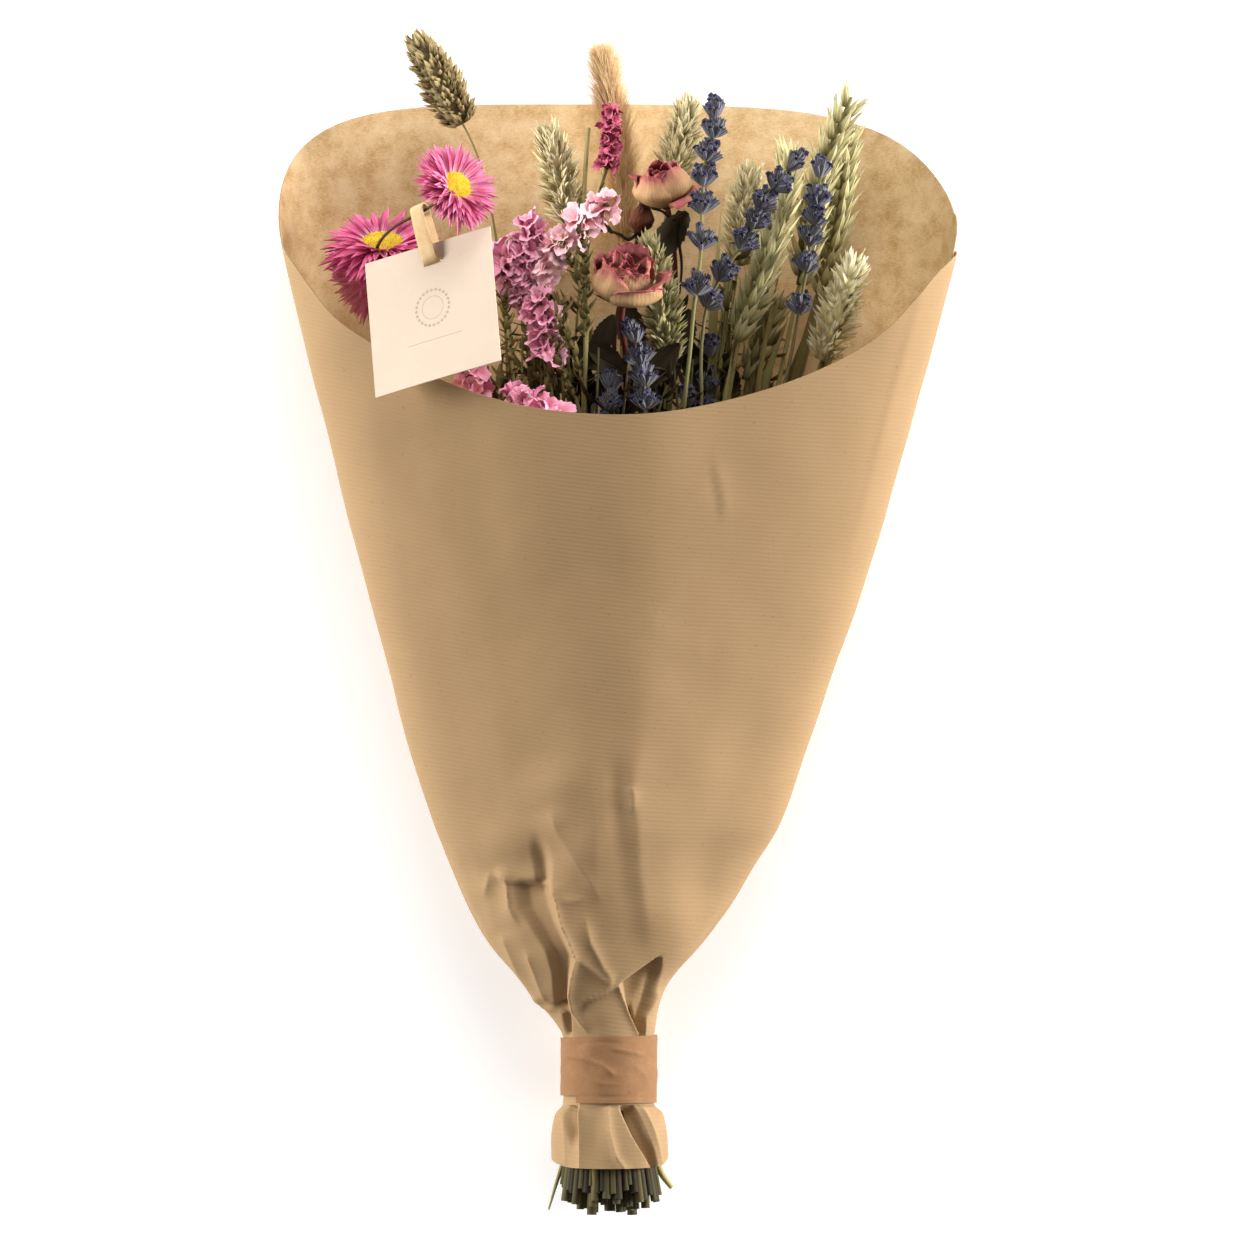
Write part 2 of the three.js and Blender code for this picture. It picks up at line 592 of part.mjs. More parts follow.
// A cupped rose petal: a patch of a bell that is turned about the bloom's axis and rolls out at its lip.
function rosePetal(middle, frame, along, { angle, half, radius, height, flare }) {
  const rows = [0, 0.55, 1];
  const bell = (v) => radius * (0.28 + 0.72 * Math.sin(Math.min(1, v * 1.25) * 1.35)) + flare * v * v * v;
  const width = (v) => half * (0.5 + 0.5 * Math.sin(Math.PI * Math.min(0.82, 0.2 + v * 0.75)));
  const place = (turn, v, thick) => {
    const dip = v === 1 ? -0.12 * height * Math.abs(turn / half) : 0;
    const out = around(frame, angle + turn);
    return middle.clone().addScaledVector(out, bell(v) - thick).addScaledVector(along, height * v + dip);
  };
  return skin(
    rows.map((v) => {
      const turns = [-width(v), 0, width(v)];
      return [...turns.map((t) => place(t, v, 0)), ...turns.reverse().map((t) => place(t, v, 0.8))];
    }),
  );
}

function roseBloom({ centre, facing, radius }) {
  const middle = V(...centre);
  const along = V(...facing).normalize();
  const frame = squareTo(along);
  const height = radius * 1.25;
  const level = (up, r) => ring(middle.clone().addScaledVector(along, up), frame, r, 6);
  const bud = [level(0.4, radius * 0.42), level(height * 0.4, radius * 0.34)];
  const skins = [skin([level(-1.6, 1), ...bud, level(height * 0.8, 1)])];
  const layers =
    radius < 7
      ? [{ count: 3, size: 0.75, flare: 0, half: 1.05 }]
      : [
          { count: 2, size: 0.5, flare: 0.4, half: 1.3 },
          { count: 3, size: 0.74, flare: 1.2, half: 0.9 },
          { count: 5, size: 0.94, flare: radius * 0.16, half: 0.6 },
        ];
  layers.forEach(({ count, size, flare, half }, n) => {
    for (let i = 0; i < count; i++)
      skins.push(
        rosePetal(middle, frame, along, {
          angle: (TURN * (i + 0.4 * n)) / count + 0.3,
          half,
          radius: radius * size,
          height: height * (1.02 - 0.1 * n),
          flare,
        }),
      );
  });
  return skins;
}

// A pointed, arched leaf with a toothed edge: x and y of its middle, its height and its heading.
function roseLeaf([x, y, z, heading]) {
  const along = V(Math.cos(heading), Math.sin(heading), 0.1).normalize();
  const steps = [-11, -7, -4, -1, 2, 5, 8, 12];
  const line = steps.map((d) => V(x, y, z).addScaledVector(along, d).setZ(z + 0.02 * d * d));
  return blade(line, [1.4, 8, 7, 10.5, 8, 8.5, 5, 0], 0.8, V(0.2, -0.1, 1));
}

// A short stalk between a leaf's foot and the nearest point of the stem.
function leafStalk([x, y, z, heading], line) {
  const along = V(Math.cos(heading), Math.sin(heading), 0.1).normalize();
  const foot = V(x, y, z).addScaledVector(along, -9).setZ(z + 1.6);
  const run = new THREE.CatmullRomCurve3(line, false, "chordal").getSpacedPoints(60);
  const near = run.filter((p) => p.y < foot.y).sort((a, b) => a.distanceTo(foot) - b.distanceTo(foot))[0];
  const frame = squareTo(foot.clone().sub(near).normalize());
  return skin([ring(near, frame, 0.7, 4), ring(foot, frame, 0.6, 4)]);
}

// ---------------------------------------------------------------- the tag and its strap
// The card hangs askew: its edges run right and down along these directions, from its upper left corner.
const CARD_CORNER = V(-96.5, 135.3, 62.2);
const CARD_RIGHT = V(47.5, 14.06, 24.5).normalize();
const CARD_DOWN = V(4.18, -50.9, 21.1).normalize();
const CARD_FRONT = CARD_DOWN.clone().cross(CARD_RIGHT).normalize();
const SLOT = { right: 29.4, down: 7.4 };

function tagCard() {
  const s = CARD.side;
  const outline = new THREE.Shape(vectors2([[0, -s], [s, -s], [s, 0], [0, 0]]));
  const [a, b] = [CARD.slotWide / 2, CARD.slotHigh / 2];
  const slot = vectors2([[-a, -b], [-a, b], [a, b], [a, -b]]);
  outline.holes.push(new THREE.Path(slot.map((p) => p.add(new THREE.Vector2(SLOT.right, -SLOT.down)))));
  const card = new THREE.ExtrudeGeometry(outline, { depth: CARD.thick, bevelEnabled: false });
  const turn = new THREE.Matrix4().makeBasis(CARD_RIGHT, CARD_DOWN.clone().negate(), CARD_FRONT);
  return card.applyMatrix4(turn.setPosition(CARD_CORNER));
}

function vectors2(list) {
  return list.map(([x, y]) => new THREE.Vector2(x, y));
}

// The strap is a flat loop through the slot and round the stem that it hangs from.
function tagStrap() {
  const slot = CARD_CORNER.clone().addScaledVector(CARD_RIGHT, SLOT.right);
  slot.addScaledVector(CARD_DOWN, SLOT.down);
  const hanger = V(...PLANTS.daisy_1.via.at(-1));
  const along = hanger.clone().sub(slot);
  const reach = along.length();
  along.normalize();
  const across = CARD_RIGHT.clone().addScaledVector(along, -CARD_RIGHT.dot(along)).normalize();
  const front = across.clone().cross(along).normalize();
  const loopOf = (r) => {
    const path = new THREE.Path();
    path.absarc(0, reach - STRAP.inside + 2.3, r, 0, Math.PI, false);
    path.absarc(0, CARD.slotHigh / 2 - 2.6 * GAP + STRAP.inside, r, Math.PI, TURN, false);
    return path.getPoints(5).slice(0, -1);
  };
  const outline = new THREE.Shape(loopOf(STRAP.inside + STRAP.thick));
  outline.holes.push(new THREE.Path(loopOf(STRAP.inside)));
  const strap = new THREE.ExtrudeGeometry(outline, { depth: STRAP.wide, bevelEnabled: false });
  const turn = new THREE.Matrix4().makeBasis(front, along, front.clone().cross(along));
  const corner = slot.clone().addScaledVector(front.clone().cross(along), -STRAP.wide / 2);
  return strap.applyMatrix4(turn.setPosition(corner.addScaledVector(CARD_FRONT, CARD.thick / 2)));
}

// ---------------------------------------------------------------- assembly
const bouquet = new THREE.Group();

function add(name, geometry, material) {
  const mesh = new THREE.Mesh(geometry, material);
  mesh.name = name;
  bouquet.add(mesh);
}

add("paper_sleeve", paperSleeve(), MATERIAL.kraft);
add("paper_band", paperBand(), MATERIAL.tape);
add("tag_card", tagCard(), MATERIAL.card);
add("tag_strap", tagStrap(), MATERIAL.strap);

Object.entries(PLANTS).forEach(([name, plant], order) => {
  const kind = kindOf(name);
  const line = stemLine(name, order);
  if (kind === "daisy" || kind === "rose") {
    const along = V(...plant.facing).normalize();
    const under = V(...plant.centre).addScaledVector(along, kind === "daisy" ? -2.4 - GAP : -1.6 - GAP);
    line.push(under.clone().addScaledVector(along, -4), under);
    const skins = [stemSkin(line, plant.stem)];
    for (const leaf of plant.leaves ?? []) skins.push(roseLeaf(leaf), leafStalk(leaf, line));
    add(`${name}_stem`, fuse(skins), MATERIAL.twig);
    if (kind === "rose") add(`${name}_bloom`, fuse(roseBloom(plant)), MATERIAL.rose);
    if (kind === "daisy") add(`${name}_petals`, fuse(daisyPetals(plant)), MATERIAL.pink);
    if (kind === "daisy") add(`${name}_disc`, daisyDisc(plant), MATERIAL.yellow);
    return;
  }
  if (kind === "bare") {
    add(name, stemSkin([...line, V(...plant.end)], plant.stem), MATERIAL.stem);
    return;
  }
  if (kind === "lavender") {
    const sides = 8;
    const whorls = vectors(plant.whorls);
    const rings = [...stemRings(line, plant.stem, sides), ...lavenderRings(whorls, plant.radius, sides)];
    add(name, skin(rings), MATERIAL.lavender);
    return;
  }
  const curve = new THREE.CatmullRomCurve3(vectors(plant.axis));
  const heads = {
    phalaris: () => phalarisHead(curve, plant.radius),
    wheat: () => wheatHead(curve, plant.radius),
    plume: () => plumeHead(curve, plant.radius),
    statice: () => staticeHead(plant, order * 50),
  };
  const upTo = kind === "statice" ? vectors(plant.axis) : [curve.getPointAt(0.1)];
  add(name, fuse([stemSkin([...line, ...upTo], plant.stem), ...heads[kind]()]), MATERIAL[kind]);
});

export default bouquet;
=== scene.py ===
"""A bunch of dried wild flowers in a kraft paper sleeve, lying on its back: the finished look of the part.

Lengths in this file are millimetres with +X right, +Y towards the flowers and +Z up; meshes are in metres.
Every surface is a grid of points worked out as whole arrays: a profile carried along a line, or a sheet over
two parameters with its underside.
"""
import math

import bpy
import numpy as np
from bpy.props import FloatProperty, FloatVectorProperty, IntProperty, PointerProperty
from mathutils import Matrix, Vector


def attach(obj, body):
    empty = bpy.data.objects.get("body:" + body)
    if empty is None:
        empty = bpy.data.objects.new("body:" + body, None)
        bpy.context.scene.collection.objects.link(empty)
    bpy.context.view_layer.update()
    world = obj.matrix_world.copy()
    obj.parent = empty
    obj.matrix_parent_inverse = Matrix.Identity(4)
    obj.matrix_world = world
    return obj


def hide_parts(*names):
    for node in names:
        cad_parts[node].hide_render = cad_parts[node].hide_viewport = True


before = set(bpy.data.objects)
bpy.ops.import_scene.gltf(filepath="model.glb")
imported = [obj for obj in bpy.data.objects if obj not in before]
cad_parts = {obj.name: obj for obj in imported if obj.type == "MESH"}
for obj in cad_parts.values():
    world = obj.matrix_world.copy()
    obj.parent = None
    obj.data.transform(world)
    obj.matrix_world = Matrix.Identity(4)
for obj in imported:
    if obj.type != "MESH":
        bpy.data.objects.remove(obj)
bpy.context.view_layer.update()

bl_info = {
    "name": "Dried flower bouquet",
    "version": (1, 0, 0),
    "blender": (4, 5, 0),
    "location": "View3D > Sidebar > Bouquet",
    "description": "Builds the paper sleeve, the tag and the dried flowers over the packed part",
    "category": "Add Mesh",
}

MM = 0.001
TURN = 2 * math.pi
GOLDEN = TURN * 0.381966
# The taped neck: its middle and its two ends.
NECK = {"x": -4.4, "z": 21.5, "low": -184.0, "high": -158.0}
# The heights at which the hidden stems are spaced, the gap kept between them and the sleeve's thickness in
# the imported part.
LEVELS = [-184, -158, -140, -122, -85, -25, 40]
GAP, PAPER = 0.35, 0.8

# The sleeve, station by station: y, left x, right x, lowest z, z of the widest line, highest z, and how
# square the lower half is (0 round, 1 flat-bottomed).
SLEEVE = np.array([
    [-208, -25.4, 17.6, 1.2, 21.5, 41.6, 0], [-196, -24.4, 16.2, 2.2, 21.5, 40.6, 0],
    [-184, -22.1, 13.3, 3.8, 21.5, 39.2, 0], [-158, -22.1, 13.3, 3.8, 21.5, 39.2, 0],
    [-140, -36, 17.6, 2, 22.5, 44.5, 0.2], [-125, -49, 29.8, 0.6, 23.5, 50.5, 0.5],
    [-110, -58, 41.5, 0, 25, 56, 0.8], [-94, -65, 51.2, 0, 26.5, 60.5, 1],
    [-79, -70.5, 60.5, 0, 28, 64.5, 1], [-49, -80.5, 71.3, 0, 30.5, 69.5, 1],
    [-18, -88.5, 82, 0, 33, 74.5, 1], [12, -96.5, 92.5, 0, 35, 79.5, 1],
    [42, -104.5, 102, 0, 37.5, 85, 1], [78, -113.5, 111.5, 0, 40, 91, 1],
    [103, -119.5, 119, 0, 42, 95, 1], [134, -127.3, 127.3, 0, 44, 99, 1],
    [149, -130.2, 129.8, 0, 45, 101, 1], [166, -132.5, 132.5, 0, 46, 103, 1],
    [197, -137, 137, 0, 48, 105, 1],
], dtype=float)

# Each plant: the points of its head from base to tip, or of its whorls, or its centre and facing; the points
# that its stem passes first (via, or seen where the finished look differs from the part); the radius of its
# head, and of its stem at the foot and at the head. Leaves are a place and a heading.
PLANTS = {
    "phalaris_1": {"axis": [(-59.7, 189.6, 26), (-70, 208, 29), (-78.7, 223.8, 30)], "radius": 8.6,
                   "stem": (2.1, 0.6)},
    "phalaris_2": {"axis": [(-18.2, 150.5, 27), (-28.5, 190.4, 29)], "radius": 9, "stem": (2.2, 0.7)},
    "phalaris_3": {"axis": [(17.9, 98.4, 52), (16, 118, 56), (10.6, 147.8, 58)], "radius": 9.6,
                   "stem": (2.2, 0.7)},
    "phalaris_4": {"axis": [(19.8, 165.7, 21), (26.6, 200.6, 20)], "radius": 8.6, "stem": (2.1, 0.7)},
    "phalaris_5": {"axis": [(76.8, 99.2, 42), (84, 120, 45), (90.4, 141, 46)], "radius": 10.4,
                   "stem": (2.2, 0.7)},
    "phalaris_6": {"axis": [(44.8, 135.3, 24), (50.2, 175.2, 25)], "radius": 9, "stem": (2.2, 0.7)},
    "wheat_1": {"axis": [(68.4, 127.7, 33), (72.6, 152.4, 34), (79.4, 178, 36), (89.2, 202, 36)],
                "radius": 6.4,
                "stem": (2.4, 1.1)},
    "wheat_2": {"axis": [(76, 121, 18), (80.6, 141, 19), (84, 161, 20), (86.6, 187, 22)], "radius": 6.2,
                "stem": (2.3, 1.1)},
    "wheat_3": {"axis": [(43.7, 106.8, 44), (51.3, 124, 46), (58.9, 147, 47), (65.7, 182, 48)], "radius": 6.4,
                "stem": (2.4, 1.1)},
    "wheat_4": {"axis": [(47.5, 91.6, 27), (60.8, 122, 27)], "radius": 5.8, "stem": (2.2, 1)},
    "plume": {"axis": [(1.6, 142.9, 12), (0.4, 172, 12.5), (-3, 195, 13), (-6.5, 216, 13.5)], "radius": 8.4,
              "stem": (2.1, 0.8)},
    "lavender_1": {"whorls": [(29.3, 128.4, 74), (30.8, 145.5, 75), (31.2, 159.2, 75), (31.9, 169.5, 75),
                              (33.4, 179, 75), (36, 187.3, 75), (35.7, 194.5, 75)], "radius": 5.6,
                              "stem": (1.9, 0.9)},
    "lavender_2": {"whorls": [(34.6, 122.7, 61), (39.9, 133, 63), (47.9, 145.2, 65), (52, 152.6, 67),
                              (55, 160.5, 68), (60.8, 167.4, 70), (66.5, 174.5, 71)],
                   "via": [(30.6, 79.4, 64.5), (31.5, 106.8, 62.5)], "radius": 5.6, "stem": (1.9, 0.8)},
    "lavender_3": {"whorls": [(68.8, 121.2, 57), (71.2, 137.2, 58), (72.4, 147.1, 58), (74.6, 154.5, 58),
                              (75, 162.3, 58), (76.2, 172.5, 58)], "radius": 5.2, "stem": (1.9, 0.8)},
    "lavender_4": {"whorls": [(9.3, 84.7, 73), (8.8, 93.9, 75), (6.8, 101.5, 76), (4.5, 110, 77)],
                   "radius": 5.6,
                   "stem": (1.9, 0.8)},
    "lavender_5": {"whorls": [(-5.2, 76, 68), (-3.8, 84.5, 69), (-3.4, 91, 69)], "radius": 5.2,
                   "stem": (1.9, 0.8)},
    "lavender_6": {"whorls": [(24.8, 68, 57), (26, 78, 58), (25.8, 86, 59)], "radius": 4.8,
                   "stem": (1.9, 0.8)},
    "lavender_7": {"whorls": [(32.6, 82, 44), (33.5, 92, 45), (34.6, 105, 46)], "radius": 5,
                   "stem": (1.9, 0.8)},
    "daisy_1": {"via": [(-94, 92, 59), (-99.6, 116, 61), (-99.4, 136, 62), (-89.5, 147.5, 64.5),
                        (-75.6, 155, 70.5)],
                "seen": [(-86, 96, 44), (-89, 118, 41), (-91, 134, 44), (-91.8, 142, 54), (-86, 149, 62),
                         (-75.6, 155, 70.5)],
                "centre": (-62, 164.4, 91), "facing": (0.58, 0.46, 0.67), "radius": 17.3, "disc": 6,
                "stem": (2, 0.8)},
    "daisy_2": {"via": [(-84, 118, 40)], "centre": (-90, 143, 44), "facing": (0.02, 0.88, 0.46),
                "radius": 22.5,
                "disc": 8, "stem": (2, 0.8)},
    "daisy_3": {"via": [(-84, 96, 34)], "centre": (-94, 130, 40), "facing": (-0.74, -0.5, 0.46),
                "radius": 15.5,
                "disc": 6, "stem": (2, 0.8)},
    "rose_1": {"centre": (17.4, 160.5, 45), "facing": (-0.15, 0.84, 0.52), "radius": 10, "stem": (2.6, 1.5),
               "leaves": [(17.5, 146, 42, 4.1)]},
    "rose_2": {"via": [(2, 102, 57)], "centre": (1.5, 122, 76), "facing": (-0.12, 0.84, 0.52), "radius": 13.5,
               "stem": (2.7, 1.6), "leaves": [(-8, 100, 56, 2.6), (14, 96, 58, 0.8), (-2, 84, 52, 1.9)]},
    "rose_3": {"via": [(4, 138, 36)], "centre": (6.6, 146, 37), "facing": (0.18, 0.9, 0.3), "radius": 5,
               "stem": (2.3, 1.1), "leaves": []},
    "statice_1": {"axis": [(-33, 118, 58), (-30, 134, 61)],
                  "combs": [[(-32, 124, 59), (-37, 136, 62), (-33, 150, 63)],
                            [(-31, 130, 60), (-20, 146, 66), (-5, 158, 68)],
                            [(-33, 122, 58), (-42, 128, 60), (-43, 140, 62)]],
                  "florets": [15, 16, 11], "stem": (2.5, 1.3)},
    "statice_2": {"axis": [(-27, 84, 62), (-28, 100, 64)], "combs": [[(-28, 98, 64), (-29, 110, 66),
                                                                      (-31, 122, 66)]],
                  "florets": [13], "stem": (2.4, 1.2)},
    "statice_3": {"axis": [(-31, 66, 66), (-31, 76, 69)], "combs": [[(-25, 76, 69), (-32, 82, 71),
                                                                     (-40, 84, 70)]],
                  "florets": [9], "stem": (2.4, 1.2)},
    "statice_4": {"axis": [(-52, 70, 54), (-54, 82, 57)], "combs": [[(-54, 80, 57), (-56, 90, 59),
                                                                     (-58, 98, 60)]],
                  "florets": [9], "stem": (2.4, 1.2)},
    "statice_5": {"axis": [(-9, 160, 38), (-5, 172, 38)], "combs": [[(-5, 172, 38), (-3.4, 183, 39),
                                                                     (-3.5, 194, 39)]],
                  "florets": [30], "stem": (2.1, 0.9)},
    "bare_stem_1": {"via": [(-13, 168, 33)], "end": (-11.8, 187.6, 33), "stem": (2, 1.2)},
    "bare_stem_2": {"end": (-62, 70, 30), "stem": (2.6, 1.2)},
    "bare_stem_3": {"end": (30, 72, 20), "stem": (2.3, 1.2)},
    "bare_stem_4": {"end": (62, 66, 58), "stem": (2.1, 1.2)},
    "bare_stem_5": {"end": (-20, 74, 22), "stem": (2.3, 1.2)},
}


# ---------------------------------------------------------------- directions, lines and gentle noise
def unit(v):
    """Each vector divided by its length."""
    v = np.asarray(v, dtype=float)
    return v / np.maximum(np.linalg.norm(v, axis=-1, keepdims=True), 1e-9)


def square_to(along):
    """Two directions square to each given one: across it, and towards the sky side of it."""
    along = unit(along)
    upright = np.abs(along[..., 2:3]) > 0.97
    across = unit(np.cross(along, np.where(upright, [0.0, 1.0, 0.0], [0.0, 0.0, 1.0])))
    return across, unit(np.cross(across, along))


def around(across, sky, angle):
    """The direction at an angle between two square ones: the cosine of one plus the sine of the other."""
    angle = np.asarray(angle)[..., None]
    return across * np.cos(angle) + sky * np.sin(angle)


def spiral(along, turn=0.0):
    """One direction for each station of a line, each a golden angle further round than the one before."""
    return around(*square_to(along), np.arange(len(along)) * GOLDEN + turn)


def smooth(t):
    """0 below 0, 1 above 1, and 3t^2 - 2t^3 between them."""
    t = np.clip(t, 0, 1)
    return t * t * (3 - 2 * t)


def draw(seed):
    """A repeatable draw between 0 and 1: the fraction of a large multiple of a sine."""
    x = math.sin(seed * 12.9898 + 4.1) * 43758.5453
    return x - math.floor(x)


def smooth_line(points, count=80):
    """A cubic through the points with knots at their distances and slopes from both neighbours, then
    resampled at equal lengths."""
    p = np.asarray(points, dtype=float)
    if len(p) == 2:
        return p[0] + (p[1] - p[0]) * np.linspace(0, 1, count)[:, None]
    knots = runs(p)
    rise = np.diff(p, axis=0) / np.diff(knots)[:, None]
    inner = (rise[:-1] * np.diff(knots)[1:, None] + rise[1:] * np.diff(knots)[:-1, None])
    inner = inner / (knots[2:] - knots[:-2])[:, None]
    slopes = np.concatenate([rise[:1], inner, rise[-1:]])
    at = np.linspace(0, knots[-1], count * 4)
    k = np.clip(np.searchsorted(knots, at, side="right") - 1, 0, len(p) - 2)
    h = (knots[k + 1] - knots[k])[:, None]
    t = (at - knots[k])[:, None] / h
    line = (p[k] * (1 + 2 * t) * (1 - t) ** 2 + slopes[k] * h * t * (1 - t) ** 2
            + p[k + 1] * t * t * (3 - 2 * t) + slopes[k + 1] * h * t * t * (t - 1))
    return resample(line, np.linspace(0, 1, count))


def runs(line):
    """The length of a line up to each of its points."""
    return np.concatenate([[0], np.cumsum(np.linalg.norm(np.diff(line, axis=0), axis=1))])


def resample(line, shares):
    """The points of a line at shares of its length."""
    run = runs(line)
    return np.stack([np.interp(np.asarray(shares) * run[-1], run, line[:, i]) for i in range(3)], axis=-1)


def part(line, low, high, count):
    """Evenly spaced points from one share of a line's length to another."""
    return resample(line, np.linspace(low, high, count))


def at_height(line, y):
    """The point of a line whose y is closest to the given one."""
    return line[np.argmin(np.abs(line[:, 1] - y))]


def stations(line, shares):
    """Points and directions of a line at shares of its length; the direction is a difference of two
    nearby points."""
    shares = np.clip(shares, 0, 1)
    step = resample(line, np.clip(shares + 0.01, 0, 1)) - resample(line, np.clip(shares - 0.01, 0, 1))
    return resample(line, shares), unit(step)


def ripple(p, size, seed, waves=7):
    """Gentle noise between about -1 and 1: a mean of sines whose wave lengths lie near the given size and
    whose directions are drawn once from the seed."""
    rng = np.random.default_rng(seed)
    p = np.asarray(p, dtype=float)
    directions = unit(rng.normal(size=(waves, p.shape[-1])))
    vectors = directions * (TURN / (size * rng.uniform(0.6, 1.6, (waves, 1))))
    return np.sin(p @ vectors.T + rng.uniform(0, TURN, waves)).mean(axis=-1) * 1.8


# ---------------------------------------------------------------- grids of points become closed surfaces
class Surface:
    """Grids of points gathered into one mesh. Every point also keeps four values that the finishes read: run
    (0 at a root, 1 at a tip), span (-1 to 1 across), side (0 upper, 1 under) and draw (one for a repeat)."""

    def __init__(self):
        self.points, self.quads, self.tris, self.values, self.finish_of = [], [], [], [], []
        self.tri_finish, self.size = [], 0

    def loops(self, rings, ends="pole", run=None, span=None, side=0.0, draws=0.5, finish=0):
        """Copies of a stack of closed rings, rings[copy, row, column]. The ends are closed by a point in
        their middle (pole), by folding the ring flat (fold), or the last row meets the first (join)."""
        rings = np.asarray(rings, dtype=float)
        rings = rings[None] if rings.ndim == 3 else rings
        count, rows, columns = rings.shape[:3]
        run = np.linspace(0, 1, rows)[:, None] if run is None else np.asarray(run, dtype=float)
        run = run[:, None] if run.ndim == 1 else run
        span = np.linspace(-1, 1, columns) if span is None else span
        wide = lambda v: np.broadcast_to(v, (count, rows, columns)).reshape(count, -1)
        draws = np.broadcast_to(np.asarray(draws, dtype=float).reshape(-1, 1, 1), (count, 1, 1))
        values = np.stack([wide(run), wide(span), wide(side), wide(draws)], axis=-1)
        points = rings.reshape(count, rows * columns, 3)
        r = np.arange(rows if ends == "join" else rows - 1)[:, None]
        c = np.arange(columns)[None, :]
        at = lambda row, column: (row % rows) * columns + column % columns
        quads = np.stack([at(r, c), at(r, c + 1), at(r + 1, c + 1), at(r + 1, c)], axis=-1).reshape(-1, 4)
        tris = np.zeros((0, 3), dtype=int)
        c = np.arange(columns)
        if ends == "pole":
            first, last = rows * columns, rows * columns + 1
            bottom = np.stack([at(0, c + 1), at(0, c), np.full(columns, first)], axis=-1)
            top = np.stack([at(rows - 1, c), at(rows - 1, c + 1), np.full(columns, last)], axis=-1)
            tris = np.concatenate([bottom, top])
            poles = np.stack([rings[:, 0].mean(axis=1), rings[:, -1].mean(axis=1)], axis=1)
            points = np.concatenate([points, poles], axis=1)
            values = np.concatenate([values, values[:, [0, (rows - 1) * columns]]], axis=1)
        if ends == "fold":
            half = np.arange(columns // 2 - 1)
            other = columns - 1 - half
            bottom = np.stack([half + 1, half, other, other - 1], axis=-1)
            top = np.stack([half, half + 1, other - 1, other], axis=-1) + (rows - 1) * columns
            quads = np.concatenate([quads, bottom, top])
        first = points[0] - points[0].mean(axis=0)
        fans = np.concatenate([quads[:, [0, 1, 2]], quads[:, [0, 2, 3]], tris])
        volume = np.einsum("ij,ij->", first[fans[:, 0]], np.cross(first[fans[:, 1]], first[fans[:, 2]]))
        if volume < 0:
            quads, tris = quads[:, ::-1], tris[:, ::-1]
        shift = self.size + np.arange(count)[:, None, None] * points.shape[1]
        self.points.append(points.reshape(-1, 3))
        self.values.append(values.reshape(-1, 4))
        self.quads.append((quads + shift).reshape(-1, 4))
        self.tris.append((tris + shift).reshape(-1, 3))
        self.finish_of.append(np.full(len(quads) * count, finish))
        self.tri_finish.append(np.full(len(tris) * count, finish))
        self.size += count * points.shape[1]

    def sheets(self, face, under, run=None, draws=0.5, finish=0):
        """Copies of an open sheet: its face and its underside, joined round all four edges."""
        face, under = np.asarray(face, dtype=float), np.asarray(under, dtype=float)
        face, under = (g[None] if g.ndim == 3 else g for g in (face, under))
        columns = face.shape[2]
        line = np.linspace(-1, 1, columns)
        span, side = np.concatenate([line, line[::-1]]), np.repeat([0.0, 1.0], columns)
        self.loops(np.concatenate([face, under[:, :, ::-1]], axis=2), "fold", run, span, side, draws, finish)

    def cups(self, face, under, draws=0.5, finish=0):
        """Copies of a cup that is closed round its axis: its face runs up to the lip and its outside back."""
        face, under = (g[None] if g.ndim == 3 else g for g in (np.asarray(face), np.asarray(under)))
        rows = face.shape[1]
        run = np.concatenate([np.linspace(0, 1, rows), np.linspace(1, 0, rows)])
        side = np.repeat([0.0, 1.0], rows)[:, None]
        self.loops(np.concatenate([face, under[:, ::-1]], axis=1), "join", run, None, side, draws, finish)

    def tubes(self, lines, radii, sides=8, draws=0.5, finish=0, run=None):
        """A round profile carried along lines[copy, row]: each ring lies square to the line's run there."""
        lines = np.asarray(lines, dtype=float)
        lines = lines[None] if lines.ndim == 2 else lines
        along = unit(np.gradient(lines, axis=1))
        mean = np.abs(unit(along.mean(axis=1)))[:, None, 2:3]
        across = unit(np.cross(along, np.where(mean > 0.8, [0.0, 1.0, 0.0], [0.0, 0.0, 1.0])))
        sky = np.cross(across, along)
        turn = TURN * np.arange(sides) / sides
        radii = np.broadcast_to(radii, lines.shape[:2])[:, :, None, None]
        spokes = across[:, :, None] * np.cos(turn)[:, None] + sky[:, :, None] * np.sin(turn)[:, None]
        run = None if run is None else np.full(lines.shape[1], float(run))
        self.loops(lines[:, :, None] + radii * spokes, "pole", run, None, 0.0, draws, finish)


def place(template, at, along, up, size=1.0):
    """Copies of a template whose y is turned along one direction and whose z leans to another; its x, y and
    z are first multiplied by each copy's size."""
    template = np.asarray(template, dtype=float)
    template = template[None] if template.ndim == 3 else template
    along = unit(along)
    across = unit(np.cross(along, up))
    basis = np.stack([across, along, np.cross(across, along)], axis=-1)
    size = np.asarray(size, dtype=float)
    size = np.broadcast_to(size[:, None] if size.ndim == 1 else size, (len(at), 3))
    scaled = template * size[:, None, None, :]
    return np.asarray(at)[:, None, None, :] + np.einsum("nij,nrcj->nrci", basis, scaled)


